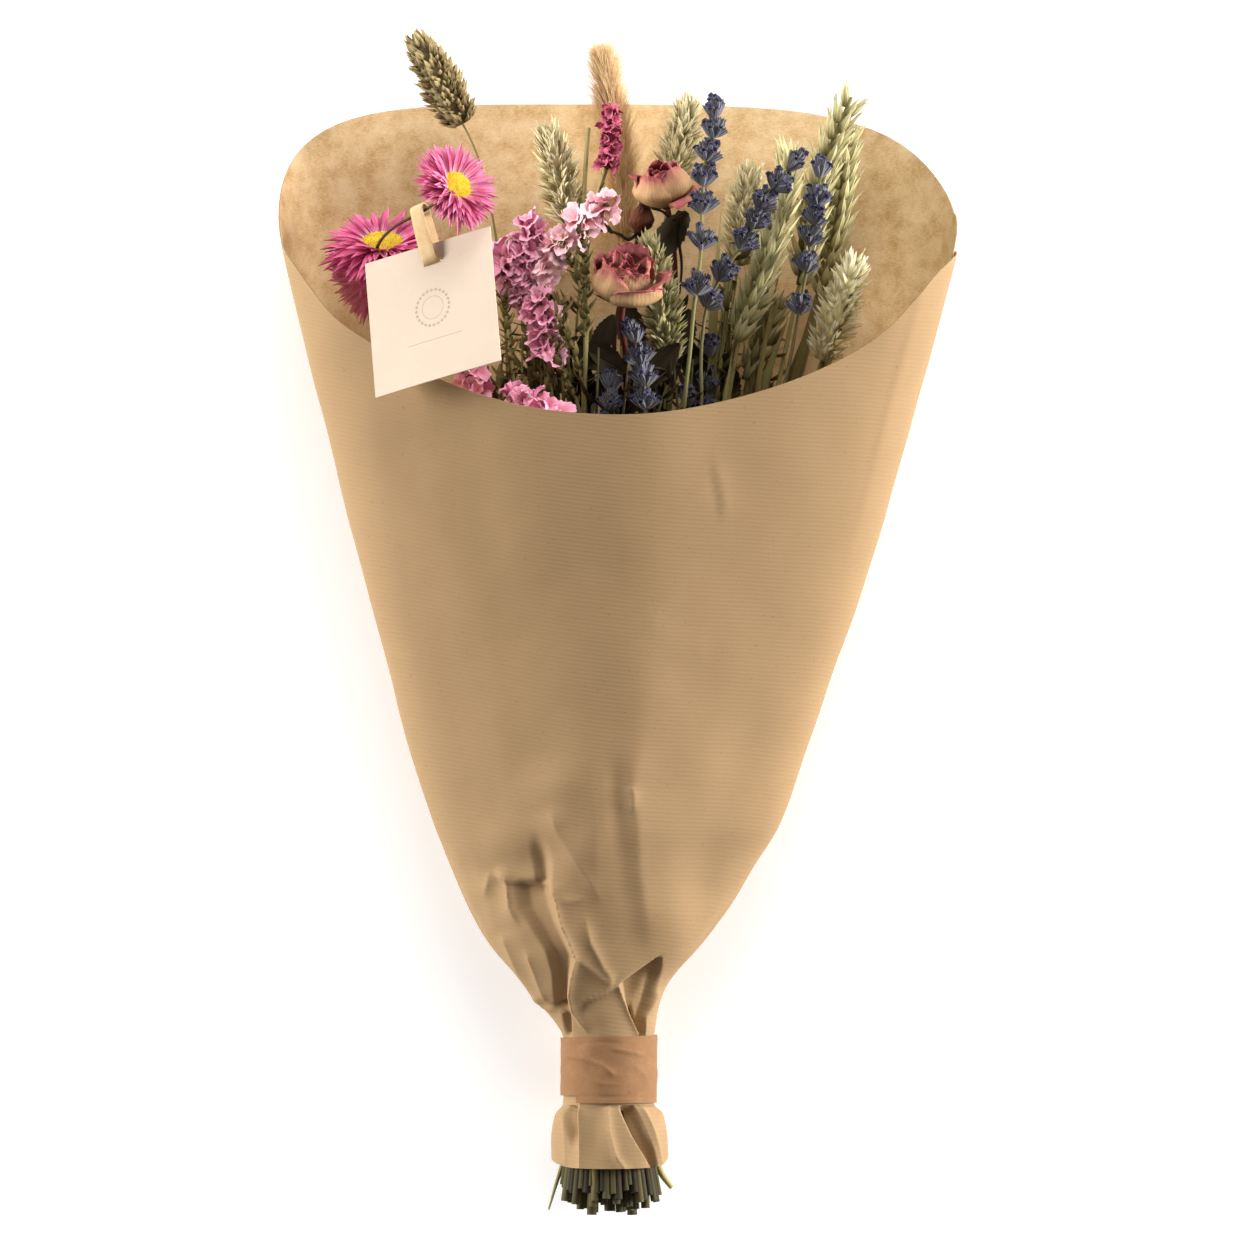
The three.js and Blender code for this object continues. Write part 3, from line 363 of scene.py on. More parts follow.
def piece(name, surface, finishes, nodes, paper_map=None, sharp=55):
    """Puts a surface into a mesh in metres, with its values as attributes, and fits it to the frame: it
    rides on the root body and stands for the given nodes."""
    quads, tris = np.concatenate(surface.quads), np.concatenate(surface.tris)
    mesh = bpy.data.meshes.new(name)
    corners = np.concatenate([quads.ravel(), tris.ravel()]).astype(np.int32)
    starts = np.concatenate([np.arange(len(quads)) * 4, len(quads) * 4 + np.arange(len(tris)) * 3])
    points = np.concatenate(surface.points) * MM
    mesh.vertices.add(len(points))
    mesh.vertices.foreach_set("co", points.astype(np.float32).ravel())
    mesh.loops.add(len(corners))
    mesh.loops.foreach_set("vertex_index", corners)
    mesh.polygons.add(len(starts))
    mesh.polygons.foreach_set("loop_start", starts.astype(np.int32))
    finish_of = np.concatenate(surface.finish_of + surface.tri_finish).astype(np.int32)
    mesh.polygons.foreach_set("material_index", finish_of)
    mesh.polygons.foreach_set("use_smooth", np.ones(len(starts), dtype=bool))
    mesh.update(calc_edges=True)
    values = np.concatenate(surface.values).astype(np.float32)
    for k, label in enumerate(("run", "span", "side", "draw")):
        mesh.attributes.new(label, "FLOAT", "POINT").data.foreach_set("value", values[:, k].copy())
    if paper_map is not None:
        layer = mesh.uv_layers.new(name="paper")
        layer.data.foreach_set("uv", (paper_map[corners] * MM).astype(np.float32).ravel())
    mesh.set_sharp_from_angle(angle=math.radians(sharp))
    if mesh.validate():
        raise RuntimeError(name + ": the mesh had faces that don't fit together")
    for finish in finishes:
        mesh.materials.append(finish)
    obj = bpy.data.objects.new(name, mesh)
    bpy.context.scene.collection.objects.link(obj)
    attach(obj, "root")
    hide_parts(*nodes)


def plant_piece(node, surface, finishes):
    """The piece of one plant's node, with its finishes by name."""
    piece(node + ".detail", surface, [plant_finish(name) for name in finishes], [node])


# ---------------------------------------------------------------- stems: the same spacing as in the part
def sleeve_at(y, column):
    """A column of the station table at any y, on a cubic whose slopes come from the neighbouring stations."""
    rows, value = SLEEVE[:, 0], SLEEVE[:, column]
    last = len(rows) - 1
    k = np.clip(np.searchsorted(rows, y), 1, last)
    low, high = np.maximum(np.arange(last + 1) - 1, 0), np.minimum(np.arange(last + 1) + 1, last)
    slope = (value[high] - value[low]) / (rows[high] - rows[low])
    h = rows[k] - rows[k - 1]
    t = np.clip((y - rows[k - 1]) / h, 0, 1)
    bend = slope[k - 1] * h * (t - 2 * t * t + t ** 3) + slope[k] * h * (t ** 3 - t * t)
    return value[k - 1] + (value[k] - value[k - 1]) * t * t * (3 - 2 * t) + bend


def first_placed(plant):
    """The first point of a plant that is given."""
    for key in ("via", "axis", "whorls"):
        if plant.get(key):
            return plant[key][0]
    if "end" in plant:
        return plant["end"]
    return tuple(np.asarray(plant["centre"]) - 4 * unit(plant["facing"]))


def space_stems():
    """Hidden stretches of the stems. They start packed in the neck, each on the side of its flower. At every
    level they go straight on from the level below, then are pushed apart until no two of them touch."""
    names = list(PLANTS)
    goals = [first_placed(PLANTS[name]) for name in names]
    radii = [0.93 * PLANTS[name]["stem"][0] + GAP / 2 for name in names]
    y0 = NECK["low"]
    row = [[NECK["x"] + 48 * (g[0] - NECK["x"]) / (g[1] - y0), y0,
            NECK["z"] + 130 * ((g[2] - NECK["z"]) / (g[1] - y0) - 0.085)] for g in goals]
    levels = []
    for y in LEVELS:
        for p, g in zip(row, goals):
            share = (y - p[1]) / (g[1] - p[1]) if y > NECK["high"] else 0
            p[:] = [p[0] + (g[0] - p[0]) * share, y, p[2] + (g[2] - p[2]) * share]
        left, right, low, high = (float(sleeve_at(np.array(float(y)), column)) for column in (1, 2, 3, 5))
        in_neck = y <= NECK["high"]
        for step in range(600):
            gather = 1 - 0.004 * max(0, 1 - step / 560)
            moved = False
            for p, radius in zip(row, radii):
                keep_inside(p, radius + PAPER + GAP / 2, gather, (left, right, low, high), in_neck)
            for i, p in enumerate(row):
                for j in range(i + 1, len(row)):
                    q = row[j]
                    dx, dz = q[0] - p[0], q[2] - p[2]
                    reach = radii[i] + radii[j]
                    if dx * dx + dz * dz >= reach * reach:
                        continue
                    length = math.sqrt(dx * dx + dz * dz)
                    push = ((reach - length) * 0.5 + 0.01) / length
                    p[0], p[2] = p[0] - dx * push, p[2] - dz * push
                    q[0], q[2] = q[0] + dx * push, q[2] + dz * push
                    moved = True
            if not moved and not in_neck:
                break
        levels.append([tuple(p) for p in row])
    return {name: [level[i] for level in levels] for i, name in enumerate(names)}


def keep_inside(p, margin, gather, walls, in_neck):
    """Brings a point inside the sleeve's oval, and in the neck also draws it gently to the middle."""
    left, right, low, high = walls
    x, z = (left + right) / 2, (low + high) / 2
    folds = 0 if in_neck else 3
    wide, tall = (right - left) / 2 - margin - folds, (high - low) / 2 - margin - folds
    if in_neck:
        p[0], p[2] = x + (p[0] - x) * gather, z + (p[2] - z) * gather
    share = math.hypot((p[0] - x) / wide, (p[2] - z) / tall)
    if share > 1:
        p[0], p[2] = x + (p[0] - x) / share, z + (p[2] - z) / share


HIDDEN = space_stems()
ORDER = {name: k for k, name in enumerate(PLANTS)}


def stem_points(name):
    """The points of a stem, from its cut foot to where its head begins."""
    hidden = HIDDEN[name]
    foot = (NECK["x"] + (hidden[0][0] - NECK["x"]) * 1.12, -218.2 - 8 * draw(ORDER[name]),
            NECK["z"] + (hidden[0][2] - NECK["z"]) * 1.12)
    return [foot, *hidden, *PLANTS[name].get("seen", PLANTS[name].get("via", []))]


def hidden_line(name):
    """The line of a stem up to the first point that is given."""
    return smooth_line([*stem_points(name), first_placed(PLANTS[name])], 160)


def stem_limit(x, y):
    """How high a stem may lie at each place: the sleeve's front there, less what its folds lie in."""
    left, right = sleeve_at(y, 1), sleeve_at(y, 2)
    middle, high = sleeve_at(y, 4), sleeve_at(y, 5)
    c = np.clip((x - (left + right) / 2) / ((right - left) / 2), -0.98, 0.98)
    folds = np.minimum(front_band(x, y) + front_folds(x, y), 0)
    return middle + (high - middle) * np.sqrt(1 - c * c) + folds - 2.2


def add_stem(surface, name, upto, finish=0, thin=0.78):
    """A stem through its points, a little waved, thinning towards its head. A twin beside it fills the
    taped neck: it leaves the stem by a little over its own width and ends unseen in the sleeve."""
    foot, head = PLANTS[name]["stem"]
    line = smooth_line([*stem_points(name), *upto], 120)
    share = np.linspace(0, 1, 120)
    seed = ORDER[name]
    wave = ripple(line, 46, 70 + seed)[:, None] * 0.5 * smooth(share * 3 - 1.2)[:, None]
    line = line + wave * np.array([1.0, 0.0, 0.4])
    radius = np.interp(share, [0, 0.35, 0.55, 1], [foot * thin, foot * 0.7 * thin, head, head * 0.7])
    under_front = np.minimum(line[:, 2], stem_limit(line[:, 0], line[:, 1]) - radius)
    line[:, 2] = np.where(line[:, 1] < -60, under_front, line[:, 2])
    surface.tubes(line, radius * (1 + 0.05 * ripple(line, 9, seed)), 8, draws=draw(seed + 0.5), finish=finish)
    angle = TURN * draw(seed + 9)
    start = part(line, 0, 0.24, 26)
    offset = np.array([math.cos(angle), 0, math.sin(angle)]) * foot * 0.8
    pull = np.array([NECK["x"], 0, NECK["z"]]) - start.mean(axis=0) * [1, 0, 1]
    beside = start + offset + 0.05 * pull
    beside[:, 1] += 7 * (draw(seed + 5) - 0.3) * (1 - np.linspace(0, 1, 26))
    beside[:, 1] = np.maximum(beside[:, 1], -226)
    radius = np.linspace(foot * 0.62, foot * 0.45, 26)
    beside[:, 2] = np.minimum(beside[:, 2], stem_limit(beside[:, 0], beside[:, 1]) - radius)
    surface.tubes(beside, radius, 7, draws=draw(seed + 3.3), finish=finish)


# ---------------------------------------------------------------- the paper sleeve
def sleeve_base(angle, y, inset=0.0):
    """The sleeve's smooth form: at each y half an ellipse above, and below it a rounded box lying flat."""
    left, right = sleeve_at(y, 1) + inset, sleeve_at(y, 2) - inset
    low, middle, high = sleeve_at(y, 3) + inset, sleeve_at(y, 4), sleeve_at(y, 5) - inset
    square = sleeve_at(y, 6)
    c, s = np.cos(angle), np.sin(angle)
    power = 1 - 0.43 * square
    centre, half = (left + right) / 2, (right - left) / 2
    drop = np.minimum(1, (1 + 0.06 * square) * np.abs(s) ** power)
    upper = s >= 0
    x = centre + half * np.where(upper, c, np.sign(c) * np.abs(c) ** power)
    z = np.where(upper, middle + (high - middle) * s, middle - (middle - low) * drop)
    return np.stack([x, y, z], axis=-1)


def near(x, y, points):
    """Distance from each place to a line of points, and the share of the line at which it is nearest."""
    best, where = np.full(x.shape, 1e9), np.zeros(x.shape)
    p = np.asarray(points, dtype=float)
    for k in range(len(p) - 1):
        d = p[k + 1] - p[k]
        t = np.clip(((x - p[k, 0]) * d[0] + (y - p[k, 1]) * d[1]) / (d @ d), 0, 1)
        far = np.hypot(x - p[k, 0] - t * d[0], y - p[k, 1] - t * d[1])
        where = np.where(far < best, (k + t) / (len(p) - 1), where)
        best = np.minimum(best, far)
    return best, where


def crease(x, y, points, width, height, ends=0.25):
    """A pressed crease: a sharp crest along a line that falls off with distance and fades at both ends."""
    far, where = near(x, y, points)
    return height * np.exp(-far / width) * smooth(where / ends) * smooth((1 - where) / ends)


def trough(x, y, left, right, depth, wall, ends, floor):
    """A fold that lies in: between a left and a right edge, each a line of points from its top down, the
    paper drops by the depth within a share (wall) of the width, and fades over the two end lengths. The
    floor's value says by what share it is less deep on its left; below 0 it is deeper there."""
    left, right = np.asarray(left, dtype=float)[::-1], np.asarray(right, dtype=float)[::-1]
    xl, xr = np.interp(y, left[:, 1], left[:, 0]), np.interp(y, right[:, 1], right[:, 0])
    s = (x - xl) / np.maximum(xr - xl, 0.5)
    top, bottom = max(left[-1, 1], right[-1, 1]), min(left[0, 1], right[0, 1])
    across = smooth(s / wall) * smooth((1 - s) / wall)
    lean = 1 - floor + floor * np.clip(s, 0, 1)
    return -depth * across * lean * smooth((top - y) / ends[0]) * smooth((y - bottom) / ends[1])


def bump(x, y, cx, cy, wide, tall, height, turn=0.0):
    """A soft round swell: a bell curve of the distance from its middle, wider one way than the other."""
    c, s = math.cos(turn), math.sin(turn)
    u, v = (x - cx) * c + (y - cy) * s, -(x - cx) * s + (y - cy) * c
    return height * np.exp(-(u / wide) ** 2 - (v / tall) ** 2)


def shoulder(x, y, line, drop, width, side):
    """A shoulder: beyond a line of points (top down) the paper falls away, at once low down and softly near
    the rim, and comes back to its first form far from the line."""
    line = np.asarray(line, dtype=float)[::-1]
    soft = 0.5 + 9.0 * smooth((y + 66) / 90)
    beyond = soft * np.logaddexp(0, side * (x - np.interp(y, line[:, 1], line[:, 0])) / soft)
    fade = smooth((line[-1, 1] - y) / 30) * smooth((y - line[0, 1]) / 30)
    return -drop * (1 - np.exp(-beyond / width)) * np.exp(-(beyond / 84) ** 2) * fade


def fold_edge(x, y, points, drop, width, reach):
    """A folded edge: below a line that runs from left to right the paper drops, within the width, and comes
    back over the reach; both ends of the line fade."""
    line = np.asarray(points, dtype=float)
    below = np.interp(x, line[:, 0], line[:, 1]) - y
    share = (x - line[0, 0]) / (line[-1, 0] - line[0, 0])
    fade = smooth(share / 0.18) * smooth((1 - share) / 0.18)
    return -drop * smooth(below / width) * np.exp(-np.maximum(below, 0) / reach) * fade


def front_band(x, y):
    """The flat band down the front: a crisp shoulder on its right, a soft one on its left."""
    right = [(18, 130), (14, 60), (12.5, 12), (9.5, -28), (5, -64), (7.2, -80), (7.8, -96), (10.2, -112),
             (12, -130)]
    left = [(-62, 120), (-46, 72), (-32, 38), (-17, -6), (-11, -60), (-9, -100), (-6, -122)]
    return shoulder(x, y, right, 9.0, 30, 1) + shoulder(x, y, left, 7.0, 34, -1)


# The folds of the front, from the band down to the gathers above the tape: each a form and its values.
FOLDS = [
    (bump, -6, 20, 22, 60, -0.8, 0.15), (bump, 0.5, -92, 5, 30, -0.6, 0.2),
    (trough, [(-9.5, -48), (-7.6, -58), (-6.8, -72), (-4, -96)], [(4, -48), (5, -64), (6.8, -76), (7.5, -96)],
     1.1, 0.5, (14, 26), 0.3),
    (bump, -19, -64, 8, 15, 0.8, -0.2), (bump, -26, -62, 10, 8, 1.2, 0.3), (bump, -18, -120, 7.5, 13, 2.0,
                                                                            0.35),
    (crease, [(3.2, -62), (5.4, -66), (4.6, -74)], 1.6, 0.7, 0.3),
    (trough, [(-43.5, -98), (-40.4, -109.4), (-34.6, -116.7), (-28.9, -125), (-26.2, -133.8), (-25.5, -141),
              (-24.6, -149)],
     [(-27.3, -98), (-23.6, -106.4), (-21.7, -114.8), (-19, -120.1), (-16.3, -127.7), (-18.2, -134.9),
      (-19.4, -141.7), (-18.4, -149)], 4.8, 0.34, (4.5, 5), 0.55),
    (trough, [(-37, -78), (-35.6, -90), (-33.0, -101.2)], [(-29, -78), (-25.5, -91), (-25.8, -101.2)],
     2.8, 0.5, (20, 2.4), 0.3),
    (trough, [(14.6, -127.2), (7.6, -132.6), (-0.4, -138.2), (3.4, -149.3), (7.6, -158.6)],
     [(15.9, -127.2), (15.6, -134.5), (13.6, -143.3), (12.2, -147), (10.2, -151), (10.0, -158.6)],
     3.4, 0.24, (3, 1.5), -0.6),
    (bump, 10.2, -139, 2.6, 6.0, 1.4, -0.35),
    (trough, [(2.6, -146), (5.2, -152), (7.4, -158.6)], [(7.4, -146), (8.6, -152), (10.0, -158.6)],
     1.8, 0.36, (4, 1.2), 0.2),
    (trough, [(-28, -144.8), (-22, -149), (-20.8, -158.6)], [(-19, -144.8), (-18, -149), (-18, -158.6)],
     3.2, 0.36, (1.6, 1.5), 0.5),
    (crease, [(-27.5, -100.4), (-24.4, -106), (-22, -114.8), (-19.3, -120.1), (-16.3, -127.7),
              (-18.2, -134.9),
              (-19, -141.7), (-17.6, -148), (-11, -158)], 1.9, 2.2, 0.08),
    (crease, [(-50.5, -96), (-44.8, -98.4), (-42.6, -109.1), (-38, -117)], 2.4, 1.7, 0.3),
    (crease, [(-53, -107), (-51.8, -101), (-50.6, -95)], 2.4, 1.2, 0.45),
    (fold_edge, [(-52, -95.5), (-46, -99), (-38, -100.6), (-31.4, -101.8), (-26.2, -101)], 1.3, 1.9, 7),
    (crease, [(-24.5, -105.4), (-18, -106.2), (-10.6, -105)], 1.5, 0.8, 0.45),
    (crease, [(-27.7, -70), (-24.1, -80.7), (-14, -95), (-6, -108)], 4.0, 1.2),
    (fold_edge, [(-19.5, -146.6), (-11, -143), (-1.5, -138.3), (7, -132.6), (14.6, -127.0)], 1.7, 2.0, 11),
    (crease, [(-14, -110), (-11, -122), (-6, -132), (-1.5, -138)], 1.9, 1.1),
    (crease, [(-16.5, -127.5), (-11, -132), (-6, -136.5), (-1.5, -138)], 1.9, 0.9, 0.2),
    (crease, [(-0.6, -138.4), (3.2, -149.3), (7.2, -158.4)], 1.1, 1.1, 0.08),
    (crease, [(10.2, -149.6), (13.4, -143.6), (15.2, -140)], 1.4, 0.9, 0.3),
    (crease, [(-46, -118), (-38, -134), (-29.5, -146)], 2.4, 1.3, 0.15),
    (crease, [(-36.5, -124), (-31, -137), (-26.8, -146)], 1.8, 1.1, 0.2),
    (crease, [(-32, -141), (-29, -146.5), (-23.5, -147.6)], 1.5, 1.0, 0.25),
    (crease, [(33.8, 59.7), (36, 50), (38.8, 38)], 1.6, -0.45),
    (crease, [(34.5, 62), (39, 52), (42, 36)], 3.4, 0.55),
    (crease, [(6, 4), (20, -9), (38, -14)], 5.0, 0.4),
    (bump, -34, -92, 9, 6, -1.0, 0.4), (bump, -46, -84, 12, 9, 1.0), (bump, 22, -112, 9, 26, 1.0, 0.15),
    (bump, 3, -118, 8, 12, -0.6), (bump, -16, -92, 7, 14, 0.9, -0.5), (bump, -10, -150, 6, 7, 0.7),
    (bump, 40, -72, 14, 30, 0.8, 0.4), (bump, -60, -30, 16, 40, -1.0, 0.2),
    (bump, 48, -52, 10, 22, -0.8, -0.5), (bump, -66, 20, 14, 50, 0.8, 0.15),
]
# The pleats of the skirt below the tape.
SKIRT_FOLDS = [
    (trough, [(-21.8, -180), (-20.4, -192), (-18.4, -202)], [(-15.1, -180), (-15, -192), (-14.9, -202)],
     4.4, 0.4, (1, 9), 0.7),
    (trough, [(-1.4, -180), (-1.1, -184), (3.8, -195.3), (11.4, -210)],
     [(5.1, -180), (5.4, -184), (9.5, -197.2), (14.4, -210)], 3.0, 0.3, (1.6, 3), -0.4),
    (crease, [(-4.9, -182), (-4, -194), (-1.5, -204), (2.6, -210)], 1.6, 1.7, 0.04),
    (crease, [(-14.8, -182), (-14.6, -210)], 1.1, 1.4, 0.04),
    (crease, [(-19.6, -182), (-20.6, -207)], 1.5, 0.8, 0.05),
    (crease, [(8.5, -186), (10.7, -187.4), (12.4, -187)], 0.9, -0.9),
    (crease, [(7, -184), (11, -197), (15.6, -210)], 1.3, 1.5, 0.04),
    (bump, 12, -194, 4.5, 14, 1.8), (bump, -10, -198, 4, 14, -0.9),
]


def all_forms(x, y, forms):
    """The sum of several forms of the paper at each place."""
    return sum(form(x, y, *values) for form, *values in forms)


def front_folds(x, y):
    """How far the front of the sleeve stands out: the gathers above the tape, the creases between them and
    the pleats of the skirt."""
    return all_forms(x, y, FOLDS) + smooth((-184.2 - y) / 1.2) * all_forms(x, y, SKIRT_FOLDS)


def rim_at(angle):
    """Where the slanted rim lies: short in front, long at the back, with a sharp corner where the sheet's
    outer edge comes round to the front on the right; the end that is tucked under it stays below it."""
    s, c = np.sin(angle), np.cos(angle)
    right, left = np.clip(2.2 * c, 0, 1), angle - (math.pi - 0.26)
    back = 146 + 51 * (1 - (1 + np.minimum(s, 0)) ** 1.4)
    back = back - 10.5 * np.exp(-((s + 0.5) / 0.42) ** 2) * right * np.clip(-4 * s, 0, 1)
    front = 146 - 68 * s - 9 * s * (1 - s) * np.maximum(c, 0)
    turn = np.where(angle > TURN, angle - TURN, angle)
    front = front + 8.7 * np.exp(-((turn - 0.34) / 0.19) ** 2) + 4.5 * np.exp(-(left / 0.17) ** 2)
    corner = 5.5 * np.exp(-(np.maximum(angle, 0) / 0.09) ** 2)
    tucked = front - 3 * smooth((angle - TURN) / 0.05) - 34 * (angle - TURN)
    rim = np.where(s < 0, back, front - corner)
    return np.where((s < 0) & (angle < 1.0), 140.5, np.where(angle > TURN, tucked, rim))


def rib_line(x, y):
    """The paper's own coordinate across its ribs: height less the drop of a rib line, which lies level on the
    right and slants down to the right more and more towards the left."""
    s = np.clip((90 - x) / 190, 0, 1.3)
    return y - 0.03 * (90 - x) - 0.2 * 190 * s ** 2.2 / 2.2


def sleeve_grid(columns, rows):
    """The sheet as a grid: the angle runs from its outer edge on the right, over the front, round the back
    and under its own beginning; the other way it runs from the skirt's edge to the rim. Both are closest
    where the folds are."""
    share = np.linspace(0, 1, columns)
    fine = np.linspace(-0.12, 6.68, 4000)
    weight = np.cumsum(0.36 + 2.3 * smooth((fine - 0.3) / 0.3) * smooth((2.8 - fine) / 0.3))
    angle = np.interp(share, (weight - weight[0]) / (weight[-1] - weight[0]), fine)
    skirt = -208.2 + 4.4 * (1 - np.clip(np.sin(angle), 0, 1)) ** 2
    skirt_rows, fold_rows = 24, 128
    upper = rows - skirt_rows - fold_rows
    ys = [skirt + (-184 - skirt) * t for t in np.linspace(0, 1, skirt_rows, endpoint=False)]
    ys += [np.full(columns, y) for y in np.linspace(-184, -60, fold_rows, endpoint=False)]
    rim = rim_at(angle)
    ys += [-60 + (rim + 60) * t for t in np.linspace(0, 1, upper)]
    return np.broadcast_to(angle, (rows, columns)), np.array(ys)


def sheet_map(u, v):
    """The place on a sheet of every point of its face and its underside."""
    grid = np.stack([np.broadcast_to(u, v.shape), v], axis=-1)
    return np.concatenate([grid, grid[:, ::-1]], axis=1).reshape(-1, 2)


def build_sleeve(values):
    """The sheet of paper: the smooth form pushed along its own normal by the folds, with a second face set in
    by the paper's thickness."""
    angle, y = sleeve_grid(256, 192)
    tuck = 1.25 * smooth((angle - 5.6) / 0.6) * smooth((y + 152) / 20)
    base = sleeve_base(angle, y, 0.35 + tuck)
    normal = -unit(np.cross(np.gradient(base, axis=1), np.gradient(base, axis=0)))
    outward = np.sign(normal[..., 0] * np.cos(angle) + normal[..., 2] * np.sin(angle))
    normal = normal * np.where(outward == 0, 1, outward)[..., None]
    x = base[..., 0]
    top = smooth((np.sin(angle) - 0.02) / 0.3)
    folds = front_folds(x, y) * top + front_band(x, y) * smooth((np.sin(angle) - 0.02) / 0.78)
    # small gathers all round near the tape, and gentle waviness everywhere
    gathers = np.clip(np.sin(math.pi * (y + 158) / 80), 0, 1) * (y > -158) * (y < -78)
    folds -= 1.5 * gathers * (0.5 - 0.5 * np.cos(9 * angle + 1.2)) * (1 - 0.85 * top)
    skirt = np.clip((-184 - y) / 24, 0, 1)
    folds += skirt * (0.7 * np.cos(6 * angle + 0.5) + 0.5)
    flare = smooth((-183.4 - y) / 5) * smooth((y + 210) / 22) * (np.sin(angle) > -0.4)
    folds += 2.3 * np.cos(angle) ** 2 * flare
    away = smooth((np.abs(y + 171) - 13) / 6)
    folds += away * (0.28 * ripple(base, 34, 3) + 0.16 * ripple(base, 12, 4) * (0.4 + gathers))
    # the tucked end of the sheet shows through as a soft ridge
    folds += 0.5 * np.exp(-((angle - 0.4) / 0.035) ** 2) * smooth((y - 10) / 90) * (angle < 1)
    # the lower rear stays on its resting plane
    folds = np.where(np.sin(angle) < 0, folds * smooth(1.6 * (1 + np.sin(angle))), folds)
    face = base + normal * folds[..., None]
    face[..., 2] = np.maximum(face[..., 2], 0.15)
    inward = unit(np.cross(np.gradient(face, axis=1), np.gradient(face, axis=0)))
    inward *= np.sign((inward * normal).sum(axis=-1, keepdims=True))
    under = face - inward * 0.4
    surface = Surface()
    surface.sheets(face, under, run=smooth((y - 40) / 120)[None].mean(axis=2)[0])
    columns = face.shape[1]
    paper_map = sheet_map(runs(base[120]), rib_line(x, y))
    inside = (surface.quads[0] % (2 * columns) >= columns).sum(axis=1) >= 3
    surface.finish_of[0] = np.where(inside, 1, 0)
    # The inner face's finish is lighter than the outer: partly the paper's own paler, unribbed inside, partly
    # painted light standing in for light that falls into the sleeve.
    finishes = [paper_finish("kraft outside", values.kraft_outer, values.rib_pitch)[0],
                paper_finish("kraft inside with painted light", values.kraft_inner_with_painted_light)[0]]
    piece("paper_sleeve.detail", surface, finishes, ["paper_sleeve"], paper_map, 38)


TAPE_WRINKLES = [
    (crease, [(-22, -165.2), (-14, -166.2), (-7, -168.8), (-1, -173.5)], 0.75, 0.85, 0.15),
    (crease, [(-4, -162.2), (3.5, -163.8), (10, -165.2)], 0.7, 0.7, 0.2),
    (crease, [(-18, -171), (-8, -175.6), (2, -176.5)], 0.9, 0.4),
    (crease, [(4, -168), (9, -172), (12, -179)], 0.9, 0.35),
    (crease, [(-16, -180.6), (-6, -180.9), (6, -180.7)], 0.3, -0.4, 0.02),
    (crease, [(-16, -160.6), (-6, -160), (6, -160.8)], 0.5, -0.25, 0.05),
]


def build_band(values):
    """The paper tape: a flat spiral of one and a half turns whose radius grows by its thickness where it
    covers itself; the first turn is narrower, and wrinkles are pressed slantwise across it."""
    turn = np.linspace(-0.9, TURN + 2.3, 230)[None, :]
    share = np.linspace(0, 1, 44)[:, None]
    second = smooth((turn - TURN + 0.95) / 0.25)
    low = -180.5 - 2.8 * second
    high = -158.2 + 0.35 * np.sin(turn * 1.3) + 0.4 * second
    y = low + (high - low) * share
    reach = 18.25 + 0.34 * second
    x0 = np.broadcast_to(NECK["x"] + reach * np.cos(turn), y.shape)
    front = smooth(np.sin(turn) * 2)
    reach = reach + front * all_forms(x0, y, TAPE_WRINKLES)
    reach = reach + 0.16 * ripple(np.stack([x0, y, x0 * 0], -1), 7, 31)
    face, under = (np.stack([NECK["x"] + r * np.cos(turn), y, NECK["z"] + r * np.sin(turn)], axis=-1)
                   for r in (reach, reach - 0.24))
    surface = Surface()
    surface.sheets(face, under)
    finish = paper_finish("tape paper", values.tape_shade)[0]
    piece("paper_band.detail", surface, [finish], ["paper_band"], sheet_map(turn * 18, y))


# ---------------------------------------------------------------- the tag and its strap
CARD_CORNER = np.array([-96.5, 135.3, 62.2])
CARD_RIGHT = unit([47.5, 14.06, 24.5])
CARD_DOWN = unit([4.18, -50.9, 21.1])
CARD_FRONT = np.cross(CARD_DOWN, CARD_RIGHT)
SLOT = (29.4, 7.4)


def grid_line(start, end, side, counts):
    """The places of grid lines over a side: before the slot, over the slot and after it."""
    spans = ((0, start), (start, end), (end, side))
    return np.unique(np.concatenate([np.linspace(*span, n) for span, n in zip(spans, counts)]).round(4))


